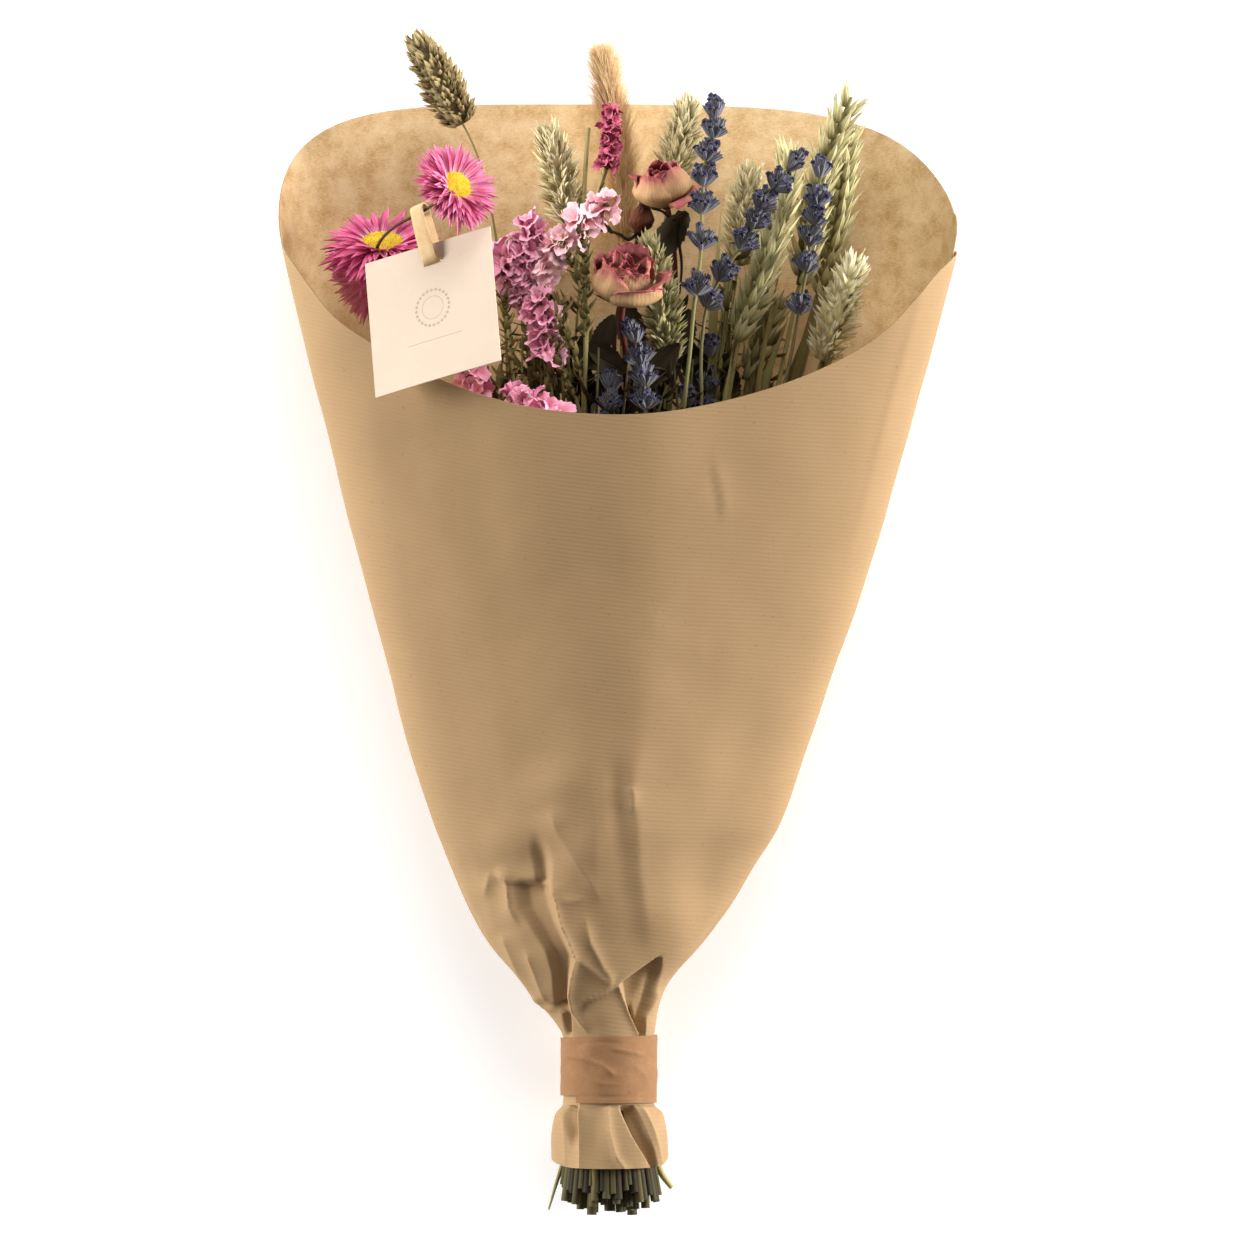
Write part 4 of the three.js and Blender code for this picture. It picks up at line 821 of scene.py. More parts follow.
def build_card(values):
    """The card: a grid over its two edges that bends very slightly, round a slot. The grid lines gather to
    the slot's edges, and the cells inside it are left out; the walls of the slot are a closed ring."""
    side, half_wide, half_high, thick = 55.3, 3.9, 1.2, 0.5
    columns = grid_line(SLOT[0] - half_wide, SLOT[0] + half_wide, side, (24, 9, 24))
    rows = grid_line(SLOT[1] - half_high, SLOT[1] + half_high, side, (8, 4, 40))
    a, d = np.meshgrid(columns, rows)
    lift = 0.5 * np.sin(a / side * math.pi) * (d / side) + 0.25 * np.sin(d / 17) * (a / side)
    bend = CARD_CORNER + a[..., None] * CARD_RIGHT + d[..., None] * CARD_DOWN + lift[..., None] * CARD_FRONT
    face = bend + thick * CARD_FRONT
    surface = Surface()
    surface.sheets(face, bend)
    # take out the cells of the slot on both faces, then wall it
    ring = len(columns) * 2
    quads = surface.quads[0]
    row_of, column_of = quads // ring, quads % ring
    column_of = np.where(column_of >= len(columns), ring - 1 - column_of, column_of)
    away_a = np.abs(columns[column_of].mean(axis=1) - SLOT[0])
    away_d = np.abs(rows[row_of].mean(axis=1) - SLOT[1])
    in_slot = (away_a < half_wide) & (away_d < half_high)
    i0, i1 = np.searchsorted(columns, [SLOT[0] - half_wide - 0.01, SLOT[0] + half_wide - 0.01])
    j0, j1 = np.searchsorted(rows, [SLOT[1] - half_high - 0.01, SLOT[1] + half_high - 0.01])
    edge = [(j0, i) for i in range(i0, i1)] + [(j, i1) for j in range(j0, j1)]
    edge += [(j1, i) for i in range(i1, i0, -1)] + [(j, i0) for j in range(j1, j0, -1)]
    top = np.array([j * ring + i for j, i in edge])
    low = np.array([j * ring + ring - 1 - i for j, i in edge])
    walls = np.stack([top, low, np.roll(low, -1), np.roll(top, -1)], axis=-1)
    middle = face[int(j0) + 1, int(i0) + 4]
    corner = np.concatenate(surface.points)[walls[0]]
    facing = np.cross(corner[1] - corner[0], corner[3] - corner[0]) @ (middle - corner[0])
    walls = walls if facing > 0 else walls[:, ::-1]
    surface.quads[0] = np.concatenate([quads[~in_slot], walls])
    surface.finish_of[0] = np.zeros(len(surface.quads[0]))
    piece("tag_card.detail", surface, [card_paper(values)], ["tag_card"], sheet_map(a, -d))


def build_strap(values):
    """The strap: a flat strip carried round a long loop through the slot and over the stem, a little twisted
    and pinched at its top."""
    slot = CARD_CORNER + CARD_RIGHT * SLOT[0] + CARD_DOWN * SLOT[1]
    hanger = np.array(PLANTS["daisy_1"]["via"][-1], dtype=float)
    reach = np.linalg.norm(hanger - slot)
    along = (hanger - slot) / reach
    across = unit(CARD_RIGHT - along * (CARD_RIGHT @ along))
    front = np.cross(across, along)
    start = slot + CARD_FRONT * 0.3
    top, low, r = reach - 0.4, 2.35, 2.9
    half = np.linspace(0, math.pi, 16)
    over = np.stack([r * np.cos(half), top + r * np.sin(half)], axis=-1)
    back = np.stack([-r * np.cos(half), low - r * np.sin(half)], axis=-1)
    down = np.linspace(over[-1], back[0], 14)[1:-1]
    up = np.linspace(back[-1], over[0], 14)[1:-1]
    loop = np.concatenate([over, down, back, up])
    v = np.linspace(-1, 1, 9)
    height = (loop[:, 1] - low) / (top - low)
    wide = 3.05 - 0.35 * smooth(height)
    bow = 0.35 * np.sin(math.pi * np.clip(height, 0, 1)) * np.sign(loop[:, 0])
    centre = start + front * (loop[:, :1] + bow[:, None]) + along * loop[:, 1:]
    tangent = unit(np.roll(centre, -1, axis=0) - np.roll(centre, 1, axis=0))
    out = np.cross(tangent, across)
    from_middle = front * loop[:, :1] + along * (loop[:, 1:] - (top + low) / 2)
    out *= np.sign((out * from_middle).sum(axis=1, keepdims=True))
    face = centre[:, None] + across * (wide[:, None, None] * v[:, None])
    face = face + out[:, None] * (0.22 + 0.16 * (1 - v[:, None] ** 2) - 0.06 * np.cos(5 * v[:, None]))
    under = face - out[:, None] * 0.38
    surface = Surface()
    surface.loops(np.concatenate([face, under[:, ::-1]], axis=1), "join", span=np.concatenate([v, v[::-1]]))
    piece("tag_strap.detail", surface, [strap_paper(values)], ["tag_strap"])


# ---------------------------------------------------------------- scales, leaves and cups of the plants
def husk_shape(rows=7, keel=0.55, thick=0.16, belly=0.42, curl=0.12):
    """A boat-shaped husk of unit length: half-width is a sine of the share raised to a power, pointed at the
    tip; the keel stands out along its middle and the tip bends a little inwards."""
    t = np.linspace(0.03, 0.985, rows)
    width = 0.5 * np.sin(math.pi * t ** belly) ** 0.75 * (1 - 0.25 * t)
    ridge = keel * width
    rise = curl * (4 * t * (1 - t))
    edge, crest = rise - 0.3 * ridge, rise + ridge
    height = np.stack([edge, crest, edge, crest - thick * np.sqrt(width * 2)], axis=-1)
    x = np.stack([-width, 0 * t, width, 0 * t], axis=-1)
    return np.stack([x, np.broadcast_to(t[:, None], x.shape), height], axis=-1)


def add_husks(surface, at, along, out, length, width, draws, finish=0, **shape):
    """Husks at many roots: each lies along its direction with its keel turned outwards. The four points of
    a ring are its two edges, its keel and its inner side."""
    template = husk_shape(**shape)
    size = np.broadcast_arrays(width, length, width, np.zeros(len(at)))[:3]
    rings = place(template, at, along, out, np.stack(size, axis=-1))
    span, side = np.array([-1.0, 0.0, 1.0, 0.0]), np.array([0.3, 0.0, 0.3, 1.0])
    surface.loops(rings, "pole", np.linspace(0, 1, len(template)), span, side, draws, finish)


def add_undergrowth(surface, name, stems, finish, leaf_finish, leaves=9, reach=(84, 112), shift=0.0):
    """Thin side stems that leave a plant's hidden stem, end among the heads, and carry small dark leaves on a
    golden-angle spiral; they fill the shade between the stems."""
    rng = np.random.default_rng(900 + ORDER[name])
    line = hidden_line(name)
    for _ in range(stems):
        start = at_height(line, rng.uniform(5, 30))
        top = rng.uniform(*reach)
        end = at_height(line, top) + [shift + rng.normal(0, 3 if shift else 8), 0, -rng.uniform(3, 16)]
        end[1], end[2] = top, max(end[2], 6)
        path = smooth_line([start, (start + end) / 2 + [rng.normal(0, 3), 0, rng.normal(0, 2)], end], 40)
        surface.tubes(path, np.linspace(0.9, 0.4, 40), 6, draws=rng.uniform(0, 1), finish=finish)
        at, along = stations(path, rng.uniform(0.45, 1.0, leaves))
        out = spiral(along, rng.uniform(0, TURN))
        lean = unit(along * rng.uniform(-0.2, 1, (leaves, 1)) + out * rng.uniform(0.3, 1.1, (leaves, 1)))
        add_husks(surface, at, lean, out, rng.uniform(7, 15, leaves), rng.uniform(2.4, 5.2, leaves),
                  rng.uniform(0, 1, leaves), leaf_finish, rows=9, keel=0.3, thick=0.12, curl=0.3, belly=0.7)


def blades(surface, name, count, finish, reach):
    """Long narrow leaves beside a stem: each is a strip along a line of its own that leaves the stem, arches
    and ends in a point, with a fold along its middle."""
    rng = np.random.default_rng(950 + ORDER[name])
    line = hidden_line(name)
    t, v = np.linspace(0, 1, 36)[:, None], np.linspace(-1, 1, 7)[None, :, None]
    for _ in range(count):
        start = at_height(line, rng.uniform(20, 60))
        top = rng.uniform(*reach)
        low = at_height(line, top)
        end = np.array([low[0] + rng.normal(0, 7), top, low[2] + rng.uniform(-9, 6)])
        middle = (start * 0.5 + end * 0.5) + [rng.normal(0, 3), 0, rng.normal(2, 2)]
        path = smooth_line([start, middle, end], 36)
        twist = rng.uniform(-0.5, 0.5) + rng.uniform(-1.4, 1.4) * t
        across, sky = square_to(np.gradient(path, axis=0))
        side = across * np.cos(twist) + sky * np.sin(twist)
        up = sky * np.cos(twist) - across * np.sin(twist)
        wide = rng.uniform(1.1, 1.9) * (0.6 + 0.4 * np.sin(math.pi * t))
        wide = (wide * np.clip((1.01 - t) / 0.4, 0.02, 1) ** 0.8)[..., None]
        face = path[:, None] + side[:, None] * v * wide + up[:, None] * (0.35 * np.abs(v) * wide)
        surface.sheets(face, face - up[:, None] * 0.16, draws=rng.uniform(0, 1), finish=finish)


def cup_shape():
    """A small ribbed cup of unit length: its radius swells from the foot, draws in at the neck and opens in
    five lobes at the mouth; the inside follows a wall's thickness in."""
    t = np.linspace(0, 1, 6)[:, None]
    a = TURN * np.arange(10)[None, :] / 10
    lobes = np.cos(5 * a)
    radius = 0.09 + 0.15 * np.sin(math.pi * (0.08 + 0.72 * t)) + 0.05 * t ** 4
    radius = radius * (1 + 0.09 * lobes) + 0.03 * t ** 5 * lobes
    y = t + 0.07 * t ** 6 * lobes
    inner = np.maximum(radius - 0.045, 0.02)
    return (np.stack([inner * np.cos(a), np.maximum(y, 0.3), inner * np.sin(a)], axis=-1),
            np.stack([radius * np.cos(a), y, radius * np.sin(a)], axis=-1))


def corolla_shape():
    """A tiny withered flower of unit size: a narrow tube that ends in a crumpled lobed lip."""
    t = np.linspace(0, 1, 5)[:, None]
    a = TURN * np.arange(10)[None, :] / 10
    radius = 0.18 + 0.5 * t ** 2 * (1 + 0.35 * np.cos(5 * a + 0.7))
    y = t - 0.25 * t ** 3 * np.cos(2 * a)
    inner = radius - 0.1
    return (np.stack([inner * np.cos(a), np.maximum(y, 0.2) + 0.05, inner * np.sin(a)], axis=-1),
            np.stack([radius * np.cos(a), y, radius * np.sin(a)], axis=-1))


def add_cups(surface, at, along, length, width, draws, finish, shape=cup_shape):
    """Copies of a cup along their directions."""
    size = np.stack([width, length, width], axis=-1)
    up = square_to(along)[1]
    surface.cups(*(place(side, at, along, up, size) for side in shape()), draws, finish)


# ---------------------------------------------------------------- canary grass, wheat, plume and lavender
def egg(share):
    """The outline of a head from base to tip, 1 at its widest, a third of the way up: a root of the share
    times a root of what is left of it."""
    s = np.clip(share, 0, 1)
    return (s + 0.02) ** 0.3 * (1.04 - s) ** 0.62 / 0.59


# How loose the husks of each head of canary grass lie (0 is tight), how far they reach in shares of its
# radius, and its finish.
# The fifth head's finish is its pale husks made lighter as painted light, against the shadow of the sleeve's
# right wall.
CANARY = {1: (0.0, 1.12, "canary olive"), 2: (0.8, 1.18, "canary pale"), 3: (0.55, 1.075, "canary green"),
          4: (0.8, 1.1, "canary pale"), 5: (0.5, 1.07, "canary with painted light"), 6: (0.8, 1.1, "canary pale")}


def canary_head(surface, name, count, loose, reach):
    """An egg-shaped head: husks on a golden-angle spiral, rooted on a slim core. Every other one is short and
    upright and hides the core; the rest lean out until their tips reach the egg's outline."""
    rng = np.random.default_rng(100 + ORDER[name])
    line = smooth_line(PLANTS[name]["axis"], 60)
    tight = loose == 0
    count, mean = (int(count * 1.5), 4.4) if tight else (int(count * 1.3), 4.6 + 2.2 * loose)
    inner_root, outer_root, inner_tip, core = (0.5, 0.64, 0.84, 0.66) if tight else (0.36, 0.44, 0.7, 0.36)
    k = np.arange(count)
    inner = k % 2 == 0
    total = runs(line)[-1]
    share = (1 - 0.8 * mean / total) * ((k + 0.5) / count) ** 0.96
    at, along = stations(line, share)
    out = spiral(along, rng.normal(0, 0.4, count))
    length = mean * rng.normal(1, 0.13, count)
    root = reach * egg(share) * np.where(inner, inner_root, outer_root)
    tip = reach * egg(share + 0.5 * mean / total) * np.where(inner, inner_tip, 1.04)
    tip = tip * rng.normal(1, 0.06 + 0.07 * loose, count)
    sine = np.clip((tip - root) / length, 0.12, 0.86)
    side = np.cross(along, out) * rng.normal(0, 0.14 + 0.2 * loose, count)[:, None]
    direction = unit(along * np.sqrt(1 - sine ** 2)[:, None] + out * sine[:, None] + side)
    width = rng.normal(2.3 - 0.7 * loose, 0.2, count)
    add_husks(surface, at + out * root[:, None], direction, out, length, width, rng.uniform(0, 1, count),
              belly=0.6, curl=0.05, keel=0.7)
    shares = np.linspace(0, 0.93, 24)
    surface.tubes(resample(line, shares), reach * core * egg(shares), 10, draws=0.0, run=0.0)


def build_phalaris(values):
    """Canary grass: its stem, its head of husks and, on most, two long leaves."""
    for n, (loose, reach, finish) in CANARY.items():
        name = f"phalaris_{n}"
        surface = Surface()
        canary_head(surface, name, values.husks, loose, reach * PLANTS[name]["radius"])
        line = smooth_line(PLANTS[name]["axis"], 30)
        add_stem(surface, name, [line[2], line[12]], 1)
        if n > 2:
            blades(surface, name, 2, 1, (96, 150))
        plant_piece(name, surface, [finish, "stem green"])


# The five husks of a spikelet: how far each stands to the side and out of the ear, and its length.
FANS = ((-0.85, 0.34, 0.84), (0.85, 0.34, 0.84), (-0.4, 0.6, 1.0), (0.4, 0.6, 1.0), (0.0, 0.82, 0.92))


def build_wheat(values):
    """Wheat: spikelets by turns left and right of the ear, each of five long husks fanned about it and
    overlapping the next; every husk ends in a short bristle."""
    for n in range(1, 5):
        name = f"wheat_{n}"
        rng = np.random.default_rng(200 + n)
        surface = Surface()
        line = smooth_line(PLANTS[name]["axis"], 60)
        total = runs(line)[-1]
        count = int(round(total / 3.6))
        k = np.arange(count)
        share = 0.9 * k / (count - 1)
        at, along = stations(line, share)
        across, sky = square_to(along)
        turn = 0.25 * n + 0.2 * np.sin(share * 5 + n)
        flat, other = around(across, sky, turn), around(across, sky, turn + math.pi / 2)
        flat = flat * np.where(k % 2 == 0, 1.0, -1.0)[:, None]
        size = 0.74 + 0.34 * np.sin(math.pi * np.clip(share * 0.8 + 0.2, 0, 1)) ** 0.7
        size = size * PLANTS[name]["radius"] / 6.2
        for fan, push, reach in FANS:
            direction = unit(along + flat * (0.66 * push + rng.normal(0, 0.06, (count, 1)))
                             + other * (fan * 0.55 + rng.normal(0, 0.07, (count, 1))))
            outward = unit(flat * push + other * fan)
            root = at + flat * 1.3 + other * fan * 1.6
            length = 11.6 * reach * size * rng.normal(1, 0.06, count)
            length = np.minimum(length, (1.0 - share) * total + 3.5)
            add_husks(surface, root, direction, outward, length, 3.6 * size, rng.uniform(0, 1, count),
                      rows=9, keel=0.62, thick=0.42, belly=0.62, curl=0.08)
            tip = root + direction * (length * 0.93)[:, None]
            steps = np.linspace(0, 1, 4)[None, :, None] * (1.6 + 1.5 * rng.uniform(0, 1, (count, 1, 1)))
            bristle = tip[:, None] + unit(direction + outward * 0.2)[:, None] * steps
            surface.tubes(bristle, np.array([0.3, 0.22, 0.13, 0.05]), 4, draws=rng.uniform(0, 1, count),
                          run=0.9)
        surface.tubes(part(line, 0, 0.96, 30), np.linspace(1.5, 0.7, 30), 8, draws=0.2, finish=1)
        add_stem(surface, name, [line[4]], 1)
        blades(surface, name, 3, 1, (100, 158))
        if n > 2:
            add_undergrowth(surface, name, 5, 1, 1, 11, (92, 146))
        plant_piece(name, surface, ["wheat husk", "stem green"])


def build_plume(values):
    """The soft plume: hairs on a slim core; each is a thin tapering tube bent towards the tip. Their roots
    lie on a spindle that is fullest near its top, and hairs near the end are shorter the more they lean."""
    rng = np.random.default_rng(300)
    surface = Surface()
    line = smooth_line(PLANTS["plume"]["axis"], 80)
    count = values.plume_hairs
    share = np.sort(rng.uniform(0.0, 1.0, count) ** 0.85) * 0.985
    at, along = stations(line, share)
    out = around(*square_to(along), rng.uniform(0, TURN, count))
    swell = 0.42 + 0.58 * np.sin(math.pi * np.clip(0.08 + 0.72 * share, 0, 1))
    lean = rng.uniform(0.2, 0.95, count)
    length = (6.5 + 5.0 * rng.uniform(0, 1, count)) * (0.7 + 0.4 * swell)
    length = np.minimum(length, ((1.0 - share) * runs(line)[-1] + 3.2) * (1.15 - 0.35 * lean))
    t = np.linspace(0, 1, 5)[None, :, None]
    sway = rng.normal(0, 0.1, (count, 1, 3))
    start = 1.6 * swell * np.sqrt(np.maximum(1 - share, 0.02)) ** 0.5
    rise = t * unit(along + out * lean[:, None])[:, None] + t * t * (0.2 * along[:, None] + sway)
    path = at[:, None] + out[:, None] * start[:, None, None] + length[:, None, None] * rise
    surface.tubes(path, np.array([0.15, 0.13, 0.1, 0.07, 0.03]), 3, draws=rng.uniform(0, 1, count))
    core = 0.35 + 0.65 * np.sin(math.pi * np.linspace(0.05, 0.97, 24))
    surface.tubes(part(line, 0, 0.95, 24), PLANTS["plume"]["radius"] * 0.4 * core, 10, draws=0.3)
    add_stem(surface, "plume", [line[6]], 1)
    plant_piece("plume", surface, ["plume hair", "stem tan"])


def add_whorl(surface, rng, cups, w, last, at, along, radius):
    """Three tiers of ribbed cups that lean out of the stem, some with a tiny withered flower, over three
    small bracts. The last whorl stands upright."""
    across, sky = square_to(along)
    tiers = ((cups, 1.05, -4.2, 1.0), (cups - 2, 0.6, -2.6, 1.0), (cups - 4, 0.22, -1.4, 0.9))
    for tier, (count, lean, lift, size) in enumerate(tiers):
        lean = lean * (0.5 if last else 1.0)
        angle = TURN * np.arange(count) / count + 0.9 * w + 0.5 * tier + rng.normal(0, 0.2, count)
        out = around(across, sky, angle)
        direction = unit(along + out * (lean * rng.normal(1, 0.18, count))[:, None])
        root = at + along * (lift + rng.normal(0, 0.5, (count, 1))) + out * 0.6
        length = rng.normal(5.4, 0.5, count) * size * radius / 5.4
        draws = rng.uniform(0, 1, count)
        add_cups(surface, root, direction, length, length * 0.92, draws, 0)
        opened = rng.uniform(0, 1, count) < 0.55
        few = int(opened.sum())
        if few:
            tips = root[opened] + direction[opened] * (length[opened] * 0.86)[:, None]
            lean_out = direction[opened] + rng.normal(0, 0.2, (few, 3))
            add_cups(surface, tips, lean_out, rng.normal(1.6, 0.25, few), rng.normal(1.9, 0.25, few),
                     draws[opened], 2, corolla_shape)
    out = around(across, sky, np.array([0.4, 2.4, 4.4]) + w)
    add_husks(surface, np.repeat(at - along * 4.4, 3, 0), unit(along + out * 0.8), out, 3.6, 2.2,
              rng.uniform(0, 1, 3), 3, rows=6, keel=0.2, thick=0.12)


def build_lavender(values):
    """Lavender: whorls of cups along the stem."""
    for n in range(1, 8):
        name = f"lavender_{n}"
        rng = np.random.default_rng(400 + n)
        surface = Surface()
        whorls = np.asarray(PLANTS[name]["whorls"], dtype=float)
        line = smooth_line(whorls, 80)
        for w, share in enumerate(runs(whorls) / runs(whorls)[-1]):
            at, along = stations(line, np.array([share]))
            add_whorl(surface, rng, values.cups, w, w == len(whorls) - 1, at, along, PLANTS[name]["radius"])
        add_stem(surface, name, [*part(line, 0, 1, 14)], 1)
        if n > 3:
            add_undergrowth(surface, name, 4, 1, 4)
        finishes = ["lavender cup", "stem grey", "lavender flower", "bract brown", "leaf dark"]
        plant_piece(name, surface, finishes)


# ---------------------------------------------------------------- statice
def frill(seed):
    """A papery funnel of unit length: a narrow tube opens into a wide lip that three slow waves press out of
    round, and fine pleats crumple it a little towards the edge; one way across it is narrower."""
    rng = np.random.default_rng(seed)
    t = np.linspace(0, 1, 9)[:, None]
    a = TURN * np.arange(40)[None, :] / 40
    p = rng.uniform(0, TURN, 7)
    slow = 0.2 * np.cos(2 * a + p[1]) + 0.16 * np.cos(3 * a + p[4]) + 0.1 * np.cos(5 * a + p[0])
    radius = 0.08 + 0.62 * t ** 1.25 * (1 + slow * t)
    pleats = 0.05 * t ** 1.5 * np.sin(9 * a + p[2]) + 0.03 * t ** 2 * np.sin(16 * a + p[3])
    y = 0.8 * t ** 0.75 * (1 - 0.16 * t ** 4) + pleats + 0.14 * t ** 2 * np.cos(2 * a + p[5])
    radius = radius * (1 + 0.07 * t ** 2 * np.sin(13 * a + p[6]))
    face = np.stack([radius * np.cos(a), y, radius * np.sin(a) * rng.uniform(0.6, 0.95)], axis=-1)
    round_it = np.roll(face, -1, axis=1) - np.roll(face, 1, axis=1)
    normal = unit(np.cross(unit(np.gradient(face, axis=0)), unit(round_it)))
    return face, face + normal * 0.018


# Side branches of the statice whose flowers have dropped, plant by plant.
SPRIGS = {
    1: [[(-15, 70, 60), (-13.3, 84, 64), (-13.3, 95, 66), (-14.1, 121, 68), (-17.5, 135, 69),
         (-21.5, 142, 69)],
        [(-15, 70, 60), (-13.0, 98, 66), (-12.6, 128, 68), (-14.2, 146, 69)],
        [(-15, 70, 60), (-14.6, 92, 65), (-18, 104, 67), (-24.5, 116, 68)]],
    2: [[(-14, 74, 60), (-17.5, 86, 63), (-23.5, 99, 66), (-25.5, 106, 67)],
        [(-38, 68, 57), (-39.5, 84, 60), (-42, 106, 63), (-43.8, 122, 64)]],
}


def add_sprig(surface, name, points, rng):
    """A side branch whose flowers have dropped: a thin stem from the plant's hidden stem through its points,
    with green bracts on a golden-angle spiral that crowd towards its end."""
    path = smooth_line([at_height(hidden_line(name), 35), *points], 70)
    surface.tubes(path, np.linspace(1.05, 0.55, 70), 7, draws=0.7, finish=1)
    count = 32
    at, along = stations(path, 1 - 0.34 * np.linspace(0, 1, count) ** 2)
    out = spiral(along)
    direction = unit(along * rng.uniform(0.5, 1.1, (count, 1)) + out * rng.uniform(0.4, 0.9, (count, 1)))
    length, width = rng.uniform(4.6, 8.2, count), rng.uniform(2.1, 3.4, count)
    shade = rng.uniform(0.5, 1, count)
    for finish in (1, 2):
        mine = slice(finish - 1, None, 2)
        add_husks(surface, at[mine], direction[mine], out[mine], length[mine], width[mine], shade[mine],
                  finish,
                  keel=0.35, thick=0.12, curl=0.15)


# How pale each comb of a statice is on the whole, from 0 to 1.
COMB_TONES = {1: (0.45, 0.95, 0.3), 2: (0.6,), 3: (0.7,), 4: (0.8,), 5: (0.5,)}
# Where the funnels sit round a comb, in degrees; 90 is the sky side.
COMB_SIDES = np.array([30, 150, 95, 60, 122, 5, 175])


def add_comb(surface, rng, n, points, count, pale, small):
    """One comb: funnels all over its sky side, in seven styles, each on three bracts."""
    comb = smooth_line(points, 40)
    k = np.arange(count)
    share = 0.02 + 0.97 * (k + rng.uniform(-0.25, 0.25, count)) / (count - 1)
    at, along = stations(comb, share)
    swing = np.radians(COMB_SIDES[k % 7] + rng.normal(0, 12, count))
    out = around(*square_to(along), k * GOLDEN if n == 5 else swing)
    direction = unit(out * 0.85 + along * rng.uniform(0.1, 0.9, (count, 1)) + rng.normal(0, 0.12, (count, 3)))
    size = rng.normal(7.8, 0.8, count) * small
    tone = np.clip(rng.normal(pale, 0.14, count), 0, 1)
    for style in range(7):
        mine = slice(style, None, 7)
        up = unit(rng.normal(size=(len(k[mine]), 3)))
        root = at[mine] + direction[mine] * 0.4 * small
        funnel = frill(520 + style + 7 * n)
        sides = [place(side, root, direction[mine], up, size[mine] * 0.95) for side in funnel]
        surface.cups(*sides, tone[mine], 3 if pale > 0.9 else 0)
    for turn in (0.0, 2.2, 4.1):
        lean = around(*square_to(direction), np.full(count, turn))
        add_husks(surface, at - direction * 0.8, unit(direction + lean * 0.55), lean, size * 0.55, size * 0.3,
                  rng.uniform(0, 1, count), 2, rows=6, keel=0.35, thick=0.15)
    thin = 0.7 if n == 5 else 1
    surface.tubes(part(comb, 0, 0.97, 20), np.linspace(0.95, 0.6, 20) * thin, 7, draws=0.4, finish=1)


def build_statice(values):
    """Statice: combs of papery funnels on winged green stems, with leafy bracts up the visible stem."""
    for n in range(1, 6):
        name = f"statice_{n}"
        plant = PLANTS[name]
        rng = np.random.default_rng(500 + n)
        surface = Surface()
        small = 0.55 if n == 5 else 1.0
        for points, florets, pale in zip(plant["combs"], plant["florets"], COMB_TONES[n]):
            add_comb(surface, rng, n, points, int(florets * 1.45), pale, small)
        stalk = smooth_line([stem_points(name)[-1], *plant["axis"]], 50)
        count = 26
        at, along = stations(stalk, np.linspace(0.12, 0.97, count))
        out = spiral(along)
        lean = unit(along + out * rng.uniform(0.3, 0.9, (count, 1)))
        length, width = rng.normal(7.0, 1.5, count), rng.normal(2.0, 0.3, count)
        add_husks(surface, at, lean, out, length * max(small, 0.6), width * max(small, 0.6),
                  rng.uniform(0, 1, count), 2, keel=0.3, thick=0.12)
        # the stem's two thin wings
        wing = part(stalk, 0, 1, 40)
        across = square_to(np.gradient(wing, axis=0))[0]
        v = np.array([-1.0, 0.0, 1.0])[None, :, None]
        wave = 0.35 * np.sin(np.linspace(0, 26, 40))[:, None, None]
        wide = 1.5 + 0.5 * np.sin(np.linspace(0, 19, 40))[:, None, None]
        face = wing[:, None] + across[:, None] * v * wide * small + np.array([0, 0, 1.0]) * wave * np.abs(v)
        surface.sheets(face + [0, 0, 0.12], face - [0, 0, 0.12], finish=1)
        add_stem(surface, name, plant["axis"], 1)
        if n < 5:
            add_undergrowth(surface, name, 7, 1, 2, 14, (80, 132))
        for k, sprig in enumerate(SPRIGS.get(n, [])):
            add_sprig(surface, name, sprig, np.random.default_rng(1500 + 10 * n + k))
        petal = "statice dark" if n == 5 else "statice pink"
        plant_piece(name, surface, [petal, "stem green", "bract green", "statice pale"])


# ---------------------------------------------------------------- daisies
def daisy_petal():
    """A narrow pointed petal of unit length and width: broadest past its middle, keeled along the centre
    and rising at its tip."""
    t = np.linspace(0, 1, 11)[:, None]
    v = np.linspace(-1, 1, 5)[None, :]
    width = 0.5 * (0.42 + 0.58 * np.sin(math.pi * np.clip(t * 0.92 + 0.04, 0, 1)) ** 0.9)
    width = width * np.clip((1.02 - t) / 0.3, 0.03, 1) ** 0.75
    x = v * width
    z = 0.09 * v * v * width * 2 - 0.06 * t * t + 0.02 * np.cos(3 * math.pi * v) * width
    return np.stack([x, np.broadcast_to(t, x.shape), z], axis=-1)


# The layers of a daisy from below: reach as a share of its radius, slope in degrees, height and number.
PETAL_LAYERS = ((1.04, -8, -1.2, 42), (1.03, -1, -0.9, 42), (1.0, 7, -0.6, 40), (0.94, 15, -0.3, 38),
                (0.84, 25, 0.0, 34), (0.66, 38, 0.3, 26))
# By how many degrees each daisy is shut beyond that, and the finish of its petals and of its stem.
# The second daisy's petals are a deeper pink that is also darkened as painted shade.
DAISIES = {1: (0, "petal pink", "stem dark"), 2: (-12, "petal deeper pink with painted shade", "stem dark"),
           # The third daisy's petals are a lighter copy of the pink, painted light against the shadow of the
           # second.
           3: (36, "petal pink with painted light", "stem green")}


